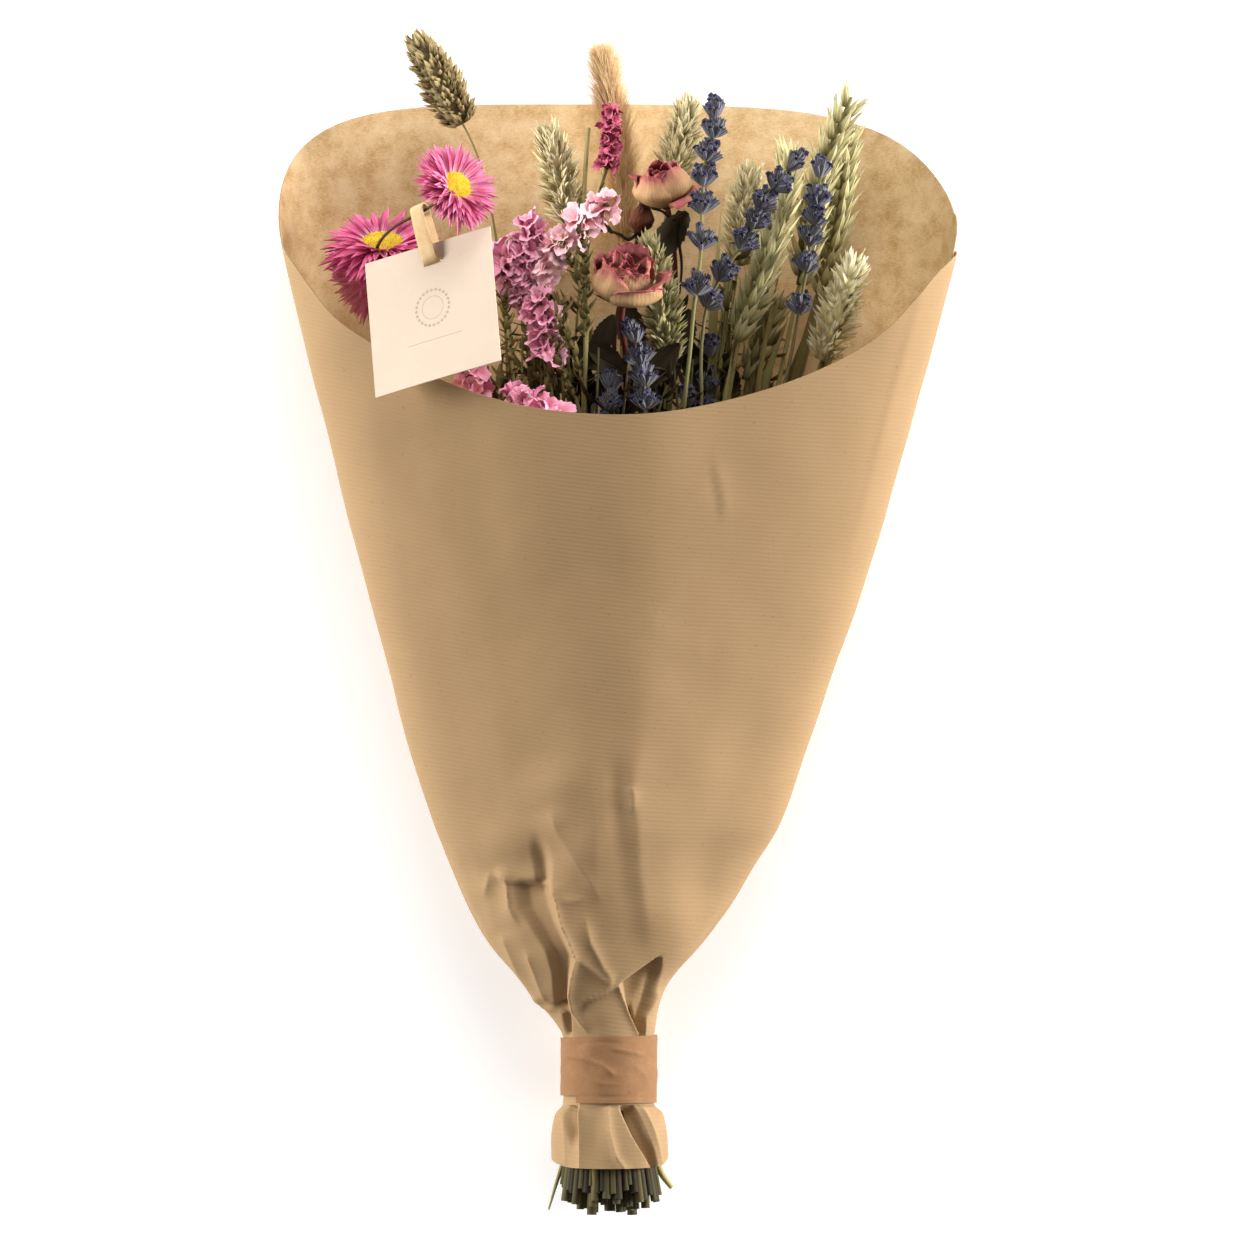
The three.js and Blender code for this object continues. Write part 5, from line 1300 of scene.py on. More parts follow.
def add_petals(surface, rng, middle, along, radius, disc, shut, full):
    """Six layers of narrow petals; every petal is turned, bent and sized a little on its own."""
    across, sky = square_to(along)
    for reach, tilt, lift, count in PETAL_LAYERS:
        count = int(round(count * full))
        angle = TURN * (np.arange(count) + rng.uniform(-0.35, 0.35, count)) / count + tilt
        out = around(across, sky, angle)
        slope = np.radians(tilt + shut + rng.normal(0, 5.0, count))[:, None]
        side = np.cross(out, along)
        direction = out * np.cos(slope) + along * np.sin(slope)
        direction = unit(direction + side * rng.normal(0, 0.08, (count, 1)))
        up = unit(along * np.cos(slope) - out * np.sin(slope) + side * rng.normal(0, 0.25, (count, 1)))
        length = (radius - disc * 0.82) * reach * rng.normal(1, 0.07, count)
        length = length / np.maximum(np.cos(slope[:, 0]), 0.75)
        width = rng.normal(1.9, 0.2, count) * (0.75 + 0.25 * reach) * radius / 17.5
        template = np.repeat(daisy_petal()[None], count, 0)
        t = template[..., 1]
        template[..., 2] += (rng.normal(0.04, 0.05, count)[:, None, None]) * t * t
        template[..., 0] += (rng.normal(0, 0.25, count)[:, None, None]) * t * t * 0.5
        root = middle + out * disc * 0.78 + along * lift
        face = place(template, root, direction, up, np.stack([width, length, length], axis=-1))
        surface.sheets(face, face - up[:, None, None, :] * 0.2, draws=rng.uniform(0, 1, count))


def build_daisies(values):
    """Everlasting daisies: layers of narrow petals, each layer shorter and steeper than the one under it,
    round a domed disc of small tubes on a golden-angle spiral, over a cup of brown scales."""
    for n, (shut, petal, stem) in DAISIES.items():
        name = f"daisy_{n}"
        plant = PLANTS[name]
        rng = np.random.default_rng(600 + n)
        middle, along = np.asarray(plant["centre"], dtype=float), unit(plant["facing"])
        radius, disc = plant["radius"], plant["disc"]
        surface = Surface()
        add_petals(surface, rng, middle, along, radius, disc, shut, values.petal_share)
        ring = np.linspace(0, 1, 8)
        cup = middle - along * 2.4 + np.outer(ring * 2.6, along)
        radii = np.interp(ring, [0, 0.3, 1], [1.2, disc * 0.75, disc * 0.95])
        surface.tubes(cup, radii, 20, draws=0.2, finish=1)
        k = np.arange(26)
        out = around(*square_to(along), k * GOLDEN)
        root = middle - along * (2.3 - 0.05 * k)[:, None] + out * 1.4
        add_husks(surface, root, unit(out * 0.9 + along * 0.35), -along + out * 0.4, disc * 0.85, 2.6,
                  rng.uniform(0, 1, len(k)), 1, rows=6, keel=0.25, thick=0.14)
        plant_piece(name + "_petals", surface, [petal, "bract brown"])

        surface = Surface()
        count = 260
        k = np.arange(count)
        share = np.sqrt((k + 0.5) / count)
        out = around(*square_to(along), k * GOLDEN)
        lift = 1.6 * (1 - share ** 2) + 0.1
        root = middle + along * (lift - 0.5)[:, None] + out * (disc * 0.93 * share)[:, None]
        direction = unit(along + out * (0.5 * share ** 2)[:, None] + rng.normal(0, 0.07, (count, 3)))
        length = 1.3 + 0.8 * share ** 3 + rng.normal(0, 0.1, count)
        add_cups(surface, root, direction, length, np.full(count, 0.36 * disc), rng.uniform(0, 1, count), 0)
        dome = np.linspace(0, 1, 10)
        radii = disc * 0.92 * np.sqrt(np.maximum(1 - dome ** 2, 0.003))
        surface.tubes(middle + np.outer(-0.4 + 2.2 * dome, along), radii, 20, draws=0.3, run=0.5)
        plant_piece(name + "_disc", surface, ["disc yellow"])

        surface = Surface()
        under = middle - along * 2.5
        add_stem(surface, name, [under - along * 4, under], 0, 0.62 if n == 1 else 0.78)
        if n > 1:
            add_undergrowth(surface, name, 8, 0, 1, 13, (104, 128), -11.0)
        plant_piece(name + "_stem", surface, [stem, "leaf dark"])


# ---------------------------------------------------------------- roses
def bell(t, close, roll):
    """The outline of a bloom from its foot to its lip: it swells with a sine, closes to a share of its width
    and its last part rolls outwards."""
    swell = 0.26 + 0.74 * np.sin(np.minimum(t / 0.52, 1) * math.pi / 2) ** 0.85
    return swell * (1 - (1 - close) * smooth((t - 0.5) / 0.5)) + roll * smooth((t - 0.74) / 0.26) ** 1.5


# The petals of each rose from the heart out: the side they stand on in degrees, half their angle, their share
# of the radius and of the height, how far they close, how far their lip rolls, and how ruffled it is.
ROSE_PETALS = {
    1: [(30, 1.9, 0.42, 0.84, 0.55, 0, 0.4), (210, 1.9, 0.44, 0.85, 0.55, 0, 0.4),
        (200, 1.2, 0.7, 0.9, 0.56, 0, 0.4),
        (320, 1.2, 0.72, 0.92, 0.56, 0, 0.4), (80, 1.2, 0.76, 0.94, 0.58, 0, 0.4),
        (262, 1.05, 0.94, 0.96, 0.6, 0.02, 0.4), (345, 0.9, 0.96, 0.95, 0.64, 0.04, 0.5),
        (48, 0.95, 1.0, 1.0, 0.62, 0.05, 0.35), (192, 0.66, 1.02, 0.9, 0.76, 0.2, 0.9),
        (128, 0.86, 1.05, 0.98, 0.66, 0.06, 0.35), (38, 0.85, 0.92, 0.42, 1.25, 0.42, 0.9)],
    2: [(20, 1.9, 0.34, 0.84, 0.75, 0, 1.2), (200, 1.9, 0.38, 0.86, 0.75, 0, 1.2),
        (110, 1.3, 0.56, 0.9, 0.8, 0.04, 1.4), (230, 1.2, 0.6, 0.98, 0.8, 0.04, 1.4),
        (350, 1.2, 0.62, 0.94, 0.85, 0.06, 1.5), (75, 1.0, 0.76, 0.93, 0.86, 0.08, 1.5),
        (160, 0.95, 0.8, 0.96, 0.84, 0.06, 1.4), (270, 1.15, 0.86, 1.06, 0.9, 0.06, 1.5),
        (10, 0.8, 0.96, 0.86, 1.0, 0.2, 1.9), (200, 0.75, 0.94, 0.92, 0.9, 0.12, 1.4),
        (128, 0.8, 1.0, 0.9, 0.82, 0.04, 1.1), (62, 0.88, 1.06, 0.72, 0.95, 0.16, 0.8)],
    3: [(20, 1.9, 0.55, 1.0, 0.45, 0, 0.5), (140, 1.3, 0.8, 0.98, 0.42, 0, 0.5),
        (260, 1.3, 0.82, 0.97, 0.42, 0, 0.5), (20, 1.2, 0.9, 0.95, 0.45, 0, 0.5),
        (85, 1.0, 1.0, 0.94, 0.42, 0.02, 0.6)],
}
# Each rose: the direction of its bloom, how far it is set back, its radius and height, and how much a ruffle
# of 1 moves the lip in shares of the radius.
ROSES = {1: ((-0.2, 0.89, 0.4), 2.0, 11.4, 17.0, 0.06), 2: ((0.12, 0.9, 0.42), 0.5, 14.2, 18.6, 0.042),
         3: ((0.18, 0.9, 0.3), -2.6, 5.7, 12.6, 0.06)}
# Leaves low in the bunch, each a place and a heading, and the bare side twigs of the roses.
LOW_LEAVES = {
    1: [(30, 96, 34, 1.9), (22, 108, 38, 4.4), (8, 90, 30, 1.2), (40, 88, 30, 1.5)],
    2: [(-14, 88, 44, 1.7), (4, 110, 52, 4.9), (-6, 108, 50, 4.3), (10, 84, 46, 1.4), (-20, 96, 44, 1.2),
        (18, 100, 44, 4.8)],
}
TWIGS = {
    1: [[(22.7, 155.7, 41), (20, 153, 42), (15.7, 155.8, 43), (12.1, 156.7, 44)],
        [(22.7, 155.7, 41), (22.2, 146, 43), (23.4, 136, 42), (22.6, 124, 40)]],
    3: [[(6.8, 147.4, 38), (3.2, 145.0, 40), (-0.3, 147, 41), (-7.4, 148.4, 42), (-11, 147.6, 42)],
        [(-3, 147.6, 41), (-6, 151, 43), (-10.5, 151.5, 44)]],
}


def rose_petals(surface, middle, along, radius, height, petals, ruffle_size, rng):
    """Cupped petals: each is a patch of a bell turned about the bloom's axis, over its angle and its height.
    Two ripples crumple it, the finer one only near its lip, where its colour changes too."""
    across, sky = square_to(along)
    t, v = np.linspace(0, 1, 24)[:, None], np.linspace(-1, 1, 23)[None, :]
    for i, (turn, half, wide, tall, close, roll, ruffle) in enumerate(petals):
        r, h = radius * wide, height * tall
        width = half * (0.4 + 0.6 * np.sin(math.pi * np.clip(0.16 + t * 0.6, 0, 0.76)))
        flat = np.stack([t * h + 0 * v, v * r * width, 0 * t * v + i * 7.0], axis=-1)
        crumple = ripple(flat, radius * 0.55, rng.integers(1e6)) * 0.06 * radius * t
        edge = ripple(flat, radius * 0.26, rng.integers(1e6)) * ruffle_size * ruffle * radius
        edge = edge * smooth((t - 0.55) / 0.45)
        reach = r * (bell(t, close, roll) - 0.05 * v * v * t) + crumple + edge
        up = h * (t - 0.2 * t * t * np.abs(v) ** 2.6 - 0.5 * roll * smooth((t - 0.7) / 0.3) ** 2)
        out = around(across, sky, math.radians(turn) + v * width)
        face = middle + out * reach[..., None] + along * (up + 0.9 * edge)[..., None]
        normal = unit(np.cross(np.gradient(face, axis=0), np.gradient(face, axis=1)))
        normal *= np.sign((normal * out).sum(axis=-1, keepdims=True) + 1e-6)
        streaks = 0.09 * ripple(flat * [0.5, 2.2, 1], radius * 0.3, rng.integers(1e6)) * smooth(t * 2)
        run = t + 0.09 * np.abs(v) ** 3 * t + streaks
        run = np.interp(run, [0, 0.5, 0.8, 0.96, 1.05], [0, 0.36, 0.58, 0.86, 1.0])
        run = np.concatenate([run, run[:, ::-1]], axis=1)
        surface.sheets(face, face - normal * 0.3, run=run, draws=rng.uniform(0, 1))


def rose_leaf(surface, leaf, rng, size):
    """A dry leaf: its width follows a sine with saw teeth, it folds along its midrib, curls and twists, and
    a ripple crumples it."""
    middle, heading = np.array(leaf[:3]), leaf[3]
    along = unit([math.cos(heading), math.sin(heading), 0.1])
    side = unit(np.cross(along, [rng.normal(0, 0.3), rng.normal(0, 0.3), 1.0]))
    up = np.cross(side, along)
    rows = 46
    t, v = np.linspace(0, 1, rows)[:, None], np.linspace(-1, 1, 13)[None, :]
    teeth = 1 + 0.16 * ((t * 10) % 1)
    width = 5.4 * np.sin(math.pi * np.clip(t * 0.95 + 0.03, 0, 1)) ** 0.75 * teeth * size
    d = (-11 + 23 * t) * size
    arch = 0.02 * d * d / size
    plane = np.stack([d + 0 * v, v * width, 0 * d * v + rng.uniform(0, 90)], axis=-1)
    lift = arch + 0.5 * np.abs(v) * width + 0.9 * size * ripple(plane, 9, rng.integers(1e6)) * np.abs(v)
    twist = rng.uniform(0.6, 1.1) * (t - 0.4)
    across = side * np.cos(twist)[..., None] + up * np.sin(twist)[..., None]
    face = middle + along * d[..., None] + across * (v * width)[..., None] * 0.92 + up * lift[..., None]
    normal = unit(np.cross(np.gradient(face, axis=0), np.gradient(face, axis=1)))
    surface.sheets(face, face - normal * 0.25, draws=rng.uniform(0, 1), finish=1)
    midrib = middle + along * d + up * (arch - 0.2)
    surface.tubes(midrib, np.linspace(0.5, 0.15, rows) * size, 6, draws=0.4, finish=1)


def leaf_stalk(surface, leaf, name):
    """A short curved stalk between a leaf's foot and the nearest lower point of its stem."""
    along = unit([math.cos(leaf[3]), math.sin(leaf[3]), 0.1])
    foot = np.array(leaf[:3]) - along * 11 + [0, 0, 2.4]
    plant = PLANTS[name]
    run = smooth_line([*stem_points(name), np.asarray(plant["centre"]) - 4 * unit(plant["facing"])], 90)
    lower = run[run[:, 1] < foot[1] - 1]
    close = lower[np.argmin(np.linalg.norm(lower - foot, axis=1))]
    mid = (close + foot) / 2 + [0, -1.5, 0.6]
    surface.tubes(smooth_line([close, mid, foot], 14), np.linspace(0.75, 0.5, 14), 6, draws=0.4)


def build_roses(values):
    """Small dried roses: nested layers of cupped, crumpled petals round a closed heart, five sepals, and a
    stem with toothed leaves."""
    for n, (direction, back, r, h, ruffle_size) in ROSES.items():
        name = f"rose_{n}"
        plant = PLANTS[name]
        rng = np.random.default_rng(700 + n)
        along = unit(direction)
        middle = np.asarray(plant["centre"], dtype=float) - unit(plant["facing"]) * back
        surface = Surface()
        rose_petals(surface, middle - along * 0.8, along, r, h, ROSE_PETALS[n], ruffle_size, rng)
        steps = np.linspace(0, 1, 10)
        heart = np.interp(steps, [0, 0.15, 0.6, 1], [r * 0.14, r * 0.3, r * 0.25, r * 0.06])
        surface.tubes(middle + np.outer(-1.6 + steps * h * 0.8, along), heart, 14, draws=0.8)
        foot = np.interp(steps, [0, 0.4, 1], [1.2, r * 0.26, r * 0.2])
        surface.tubes(middle + np.outer(-2.4 + steps * 3.4, along), foot, 12, draws=0.3, finish=1)
        out = around(*square_to(along), TURN * np.arange(5) / 5 + 0.4)
        add_husks(surface, middle - along * 1.4 + out * r * 0.16, unit(out * 0.9 + along * 0.35),
                  -along + out,
                  r * 0.8, r * 0.3, rng.uniform(0, 1, 5), 1, rows=9, keel=0.2, thick=0.1)
        petal = "rose bud" if n == 3 else "rose petal"
        plant_piece(name + "_bloom", surface, [petal, "leaf dark"])

        surface = Surface()
        under = middle - along * 2.2
        add_stem(surface, name, [under - along * 4, under], 0, 0.7)
        for leaf in plant["leaves"]:
            rose_leaf(surface, leaf, rng, 1.1)
            leaf_stalk(surface, leaf, name)
        for leaf in LOW_LEAVES.get(n, []):
            rose_leaf(surface, leaf, rng, rng.uniform(0.8, 1.15))
        for twig in TWIGS.get(n, []):
            surface.tubes(smooth_line(twig, 24), np.linspace(0.75, 0.4, 24), 6, draws=0.0, run=0.0)
        if n < 3:
            add_undergrowth(surface, name, 6, 0, 1, 10, (82, 120))
        plant_piece(name + "_stem", surface, ["stem red", "leaf dark"])


# ---------------------------------------------------------------- bare stems
# Two thin stems that lean out of the bundle below the skirt: the points of each, its radii and its finish.
LEANING = {
    2: ([(-17, -180, 21), (-20.6, -203, 21), (-23.6, -212, 20.5), (-27.2, -224, 20)], (1.9, 0.66, 0.35), 0.9,
        1),
    3: ([(9, -180, 22), (12.5, -202, 23), (16.0, -210.6, 23.5), (19.8, -215.6, 24)], (1.3, 1.3, 1.0), 0.95,
        2),
}


def build_bare_stems(values):
    """Stems without flowers, with short cut lengths beside them that fill the bundle up to the skirt's inner
    face."""
    rng = np.random.default_rng(777)
    for n in range(1, 6):
        name = f"bare_stem_{n}"
        surface = Surface()
        add_stem(surface, name, [PLANTS[name]["end"]], 0, 0.8)
        for j in range(0 if n == 1 else 6):
            angle = math.pi * (0.04 + 0.92 * ((n - 2) + 4 * j + rng.uniform(0.2, 0.8)) / 24)
            ys = np.linspace(-172, -203, 12)
            radius = rng.uniform(1.1, 1.9)
            line = sleeve_base(np.full(12, angle), ys, 3.6 + radius)
            line[:, 2] = np.minimum(line[:, 2], stem_limit(line[:, 0], ys) - radius)
            cut_end = line[-1:] + unit(line[-1] - line[4]) * rng.uniform(11, 19)
            surface.tubes(part(np.concatenate([line, cut_end]), 0, 1, 24), radius, 7, draws=rng.uniform(0, 1),
                          finish=(j + n) % 3, run=0.0)
        if n in LEANING:
            points, radii, tone, finish = LEANING[n]
            radii = np.interp(np.linspace(0, 1, 20), [0, 0.8, 1], radii)
            surface.tubes(smooth_line(points, 20), radii, 8, draws=tone, finish=finish)
        finish = "stem green" if n == 1 else "stem dark"
        plant_piece(name, surface, [finish, "stem grey", "stem green"])


# ---------------------------------------------------------------- node groups and finishes
def colour(shade):
    """A colour given in the 0 to 255 steps of a screen, as linear light."""
    c = np.array(shade) / 255
    c = np.where(c <= 0.04045, c / 12.92, ((c + 0.055) / 1.055) ** 2.4)
    return (float(c[0]), float(c[1]), float(c[2]), 1.0)


def darker(shade, red, green, blue):
    """A colour with its three parts multiplied."""
    return (shade[0] * red, shade[1] * green, shade[2] * blue, 1)


class Wiring:
    """Adds nodes to a tree: a value given for an input is either a socket to link or a number or colour."""

    def __init__(self, tree):
        self.tree = tree

    def put(self, socket, value):
        """Links an input to another socket, or sets its own value."""
        if isinstance(value, bpy.types.NodeSocket):
            self.tree.links.new(value, socket)
        else:
            socket.default_value = value

    def add(self, kind, inputs, **settings):
        """A node with its settings and inputs."""
        node = self.tree.nodes.new("ShaderNode" + kind)
        for key, value in settings.items():
            setattr(node, key, value)
        for key, value in inputs.items():
            self.put(node.inputs[key], value)
        return node

    def math(self, operation, a, b=0.0, c=0.5):
        return self.add("Math", {0: a, 1: b, 2: c}, operation=operation).outputs[0]

    def plus(self, a, b):
        return self.math("ADD", a, b)

    def minus(self, a, b):
        return self.math("SUBTRACT", a, b)

    def times(self, a, b):
        return self.math("MULTIPLY", a, b)

    def mix(self, share, a, b):
        """A share of the way from one colour to another."""
        return self.add("Mix", {0: share, 6: a, 7: b}, data_type="RGBA").outputs[2]

    def carry(self, value, low, high, to_low=0.0, to_high=1.0):
        """A value carried from one span to another and held inside it."""
        inputs = {"Value": value, "From Min": low, "From Max": high, "To Min": to_low, "To Max": to_high}
        return self.add("MapRange", inputs).outputs[0]

    def ramp(self, value, *stops):
        """A colour between stops, each a position with its colour."""
        node = self.add("ValToRGB", {0: value})
        ramp = node.color_ramp
        ramp.elements.remove(ramp.elements[-1])
        for k, (position, tint) in enumerate(stops):
            stop = ramp.elements[0] if k == 0 else ramp.elements.new(position)
            stop.position = position
            stop.color = tint
        return node.outputs[0]

    def noise(self, vector, scale, detail, roughness=0.55):
        inputs = {"Vector": vector, "Scale": scale, "Detail": detail, "Roughness": roughness}
        return self.add("TexNoise", inputs).outputs[0]

    def place(self):
        """The place on the object itself."""
        return self.add("TexCoord", {}).outputs["Object"]

    def paper_place(self):
        """The place on the sheet, in metres along and across it."""
        uv = self.add("UVMap", {}, uv_map="paper").outputs[0]
        return self.add("SeparateXYZ", {0: uv}).outputs

    def attribute(self, name):
        return self.add("Attribute", {}, attribute_name=name).outputs["Fac"]

    def group(self, name, maker, inputs):
        """A node group by name, made when it is first asked for."""
        tree = bpy.data.node_groups.get(name) or maker(name)
        return self.add("Group", inputs, node_tree=tree).outputs


def make_group(name, inputs, results):
    """A shader node group. A vector among its inputs has no first value, a colour has four numbers and all
    others have one; its results are values, or a colour where they are called so."""
    tree = bpy.data.node_groups.new(name, "ShaderNodeTree")
    for label, value in inputs.items():
        kind = {float: "Float", tuple: "Color"}.get(type(value), "Vector")
        socket = tree.interface.new_socket(label, in_out="INPUT", socket_type="NodeSocket" + kind)
        if value is not None:
            socket.default_value = value
    for label in results:
        kind = "Color" if label == "Color" else "Float"
        tree.interface.new_socket(label, in_out="OUTPUT", socket_type="NodeSocket" + kind)
    return Wiring(tree), tree.nodes.new("NodeGroupInput").outputs, tree.nodes.new("NodeGroupOutput").inputs


def fibre_group(name):
    """Paper fibres: broad blotches, fine stretched fibres and a few dark specks, each from its own noise."""
    w, given, out = make_group(name, {"Vector": None, "Blotch": 60.0, "Specks": 0.5},
                               ("Tone", "Height", "Specks"))
    broad = w.noise(given["Vector"], given["Blotch"], 4.0, 0.6)
    stretched = w.add("Mapping", {"Vector": given["Vector"], "Scale": (1.0, 3.2, 1.0)}).outputs[0]
    fibres = w.noise(stretched, 900.0, 3.0, 0.65)
    grain = w.noise(given["Vector"], 2600.0, 2.0, 0.5)
    dots = w.noise(given["Vector"], 700.0, 1.0, 0.4)
    w.put(out["Tone"], w.plus(w.times(broad, 0.55), w.times(fibres, 0.45)))
    w.put(out["Height"], w.plus(w.times(fibres, 0.6), w.times(grain, 0.4)))
    w.put(out["Specks"], w.times(w.carry(dots, 0.7, 0.78), given["Specks"]))
    return w.tree


def rib_group(name):
    """Pressed ribs: a sine of the coordinate across them over their pitch; the lines wander a little."""
    w, given, out = make_group(name, {"Across": 0.0, "Wander": 0.0, "Pitch": 0.0016}, ("Height",))
    moved = w.plus(given["Across"], w.times(given["Wander"], 0.0012))
    phase = w.times(w.math("DIVIDE", moved, given["Pitch"]), TURN)
    w.put(out["Height"], w.math("MULTIPLY_ADD", w.math("SINE", phase), 0.5, 0.5))
    return w.tree


def tone_group(name):
    """The tone of a plant part: root, middle and tip colours along its run, each repeat a little lighter or
    darker, and mottled by a fine noise."""
    inputs = {"Run": 0.0, "Draw": 0.5, "Spread": 0.3, "Mottle": 0.3, "Scale": 400.0, "Vector": None,
              "Root": (0.1, 0.1, 0.1, 1), "Middle": (0.3, 0.3, 0.3, 1), "Tip": (0.5, 0.5, 0.5, 1)}
    w, given, out = make_group(name, inputs, ("Color", "Height"))
    lower, upper = w.carry(given["Run"], 0.0, 0.45), w.carry(given["Run"], 0.45, 1.0)
    base = w.mix(upper, w.mix(lower, given["Root"], given["Middle"]), given["Tip"])
    mottle = w.noise(given["Vector"], given["Scale"], 3.0, 0.6)
    swing = w.times(w.minus(given["Draw"], 0.5), given["Spread"])
    spots = w.times(w.minus(mottle, 0.5), given["Mottle"])
    light = w.plus(w.plus(swing, spots), 1.0)
    w.put(out["Color"], w.add("HueSaturation", {"Color": base, "Value": light}).outputs[0])
    w.put(out["Height"], mottle)
    return w.tree


def vein_group(name):
    """Fine lines along a petal or husk: a cosine of the place across it, sharpened by a power."""
    w, given, out = make_group(name, {"Span": 0.0, "Lines": 3.0, "Wander": 0.0}, ("Mask",))
    moved = w.plus(given["Span"], w.times(given["Wander"], 0.25))
    wave = w.math("COSINE", w.times(moved, w.times(given["Lines"], math.pi / 2)))
    w.put(out["Mask"], w.math("POWER", w.math("ABSOLUTE", wave), 3.0))
    return w.tree


def new_finish(name, roughness, specular, sheen=0.0):
    """A material with one Principled shader; values that are the same all over are set on its own sockets."""
    material = bpy.data.materials.new(name)
    material.use_nodes = True
    shader = material.node_tree.nodes["Principled BSDF"].inputs
    shader["Roughness"].default_value = roughness
    shader["Specular IOR Level"].default_value = specular
    shader["Sheen Weight"].default_value = sheen
    return material, Wiring(material.node_tree), shader


# Each paper: its dark and its light shade, how strong its ribs are, how fine and how strong its blotches are,
# how strong its specks are, and how high its fibres stand in millimetres.
PAPERS = {
    "kraft outside": ((142, 115, 82), (165, 137, 101), 0.42, 26.0, 0.5, 0.35, 0.06),
    # The inside's shades are partly the inner face's own paler colour and partly painted light for the shaded
    # inside.
    "kraft inside with painted light": ((198, 156, 104), (240, 212, 168), 0, 120.0, 1.7, 0.2, 0.04),
    "tape paper": ((128, 92, 62), (154, 115, 80), 0, 150.0, 0.9, 0.4, 0.09),
    "card paper": ((184, 166, 146), (195, 179, 161), 0, 90.0, 0.6, 0.12, 0.03),
    "strap paper": ((176, 146, 104), (214, 190, 152), 0, 200.0, 0.8, 0.2, 0.05),
}


def paper_finish(name, base, pitch=0.0):
    """A paper: its tone wanders between a dark and a light shade, with ribs, fibres and specks; its rib
    grooves get painted shade.
    """
    dark, light, ribs, blotch, blotch_share, specks, height = PAPERS[name]
    dark, light = colour(dark), colour(light)
    material, w, shader = new_finish(name, 0.86, 0.25)
    place = w.place()
    fibres = w.group("paper fibres", fibre_group, {"Vector": place, "Blotch": blotch, "Specks": specks})
    swing = 0.25 / blotch_share
    tone = w.carry(fibres["Tone"], 0.5 - swing, 0.5 + swing)
    shade = w.ramp(tone, (0.0, dark), (0.5, (*base, 1)), (1.0, light))
    total = fibres["Height"]
    if ribs:
        inputs = {"Across": w.paper_place()["Y"], "Wander": w.noise(place, 30.0, 2.0), "Pitch": pitch * MM}
        rib = w.group("paper ribs", rib_group, inputs)["Height"]
        # painted shade: the paper is darkened in the low part of each rib, where shade falls in the grooves
        shade = w.mix(w.times(w.minus(1.0, rib), 0.34 * ribs), shade, darker(dark, 0.86, 0.84, 0.8))
        total = w.plus(w.times(rib, ribs), w.times(total, 0.45))
    shade = w.mix(w.times(fibres["Specks"], 0.6), shade, darker(dark, 0.35, 0.3, 0.3))
    w.put(shader["Base Color"], shade)
    w.put(shader["Roughness"], w.carry(fibres["Tone"], 0.0, 1.0, 0.78, 0.95))
    bump_of = w.add("Bump", {"Height": total, "Distance": height * MM, "Strength": 1.0})
    w.put(shader["Normal"], bump_of.outputs[0])
    return material, w, shader


def card_paper(values):
    """The cream card. Its print is plain and grey: a ring of 24 dots round a thin circle, over a rule."""
    material, w, shader = paper_finish("card paper", values.card_shade)
    place = w.paper_place()
    x, y = w.minus(place["X"], 28.0 * MM), w.plus(place["Y"], 26.0 * MM)
    radius = w.math("SQRT", w.plus(w.times(x, x), w.times(y, y)))
    beads = w.math("COSINE", w.times(w.math("ARCTAN2", y, x), 24.0))
    size = w.times(w.plus(w.times(beads, 0.5), 0.5), 0.62 * MM)
    ring = w.math("GREATER_THAN", size, w.math("ABSOLUTE", w.minus(radius, 7.2 * MM)))
    thin = w.math("LESS_THAN", w.math("ABSOLUTE", w.minus(radius, 4.6 * MM)), 0.13 * MM)
    rule = w.math("LESS_THAN", w.math("ABSOLUTE", w.plus(y, 13.0 * MM)), 0.14 * MM)
    short = w.math("LESS_THAN", w.math("ABSOLUTE", x), 12.0 * MM)
    mark = w.math("MAXIMUM", w.math("MAXIMUM", ring, thin), w.times(rule, short))
    front = w.math("GREATER_THAN", w.minus(1.0, w.attribute("side")), 0.9)
    base = shader["Base Color"].links[0].from_socket
    w.put(shader["Base Color"], w.mix(w.times(w.times(mark, front), 0.55), base, colour((120, 112, 104))))
    return material


def strap_paper(values):
    """The matt paper ribbon, with fine lines along it."""
    material, w, shader = paper_finish("strap paper", values.strap_shade)
    lines = w.group("veins", vein_group, {"Span": w.attribute("span"), "Lines": 9.0})["Mask"]
    base = shader["Base Color"].links[0].from_socket
    w.put(shader["Base Color"], w.mix(w.times(lines, 0.25), base, colour((150, 118, 78))))
    return material


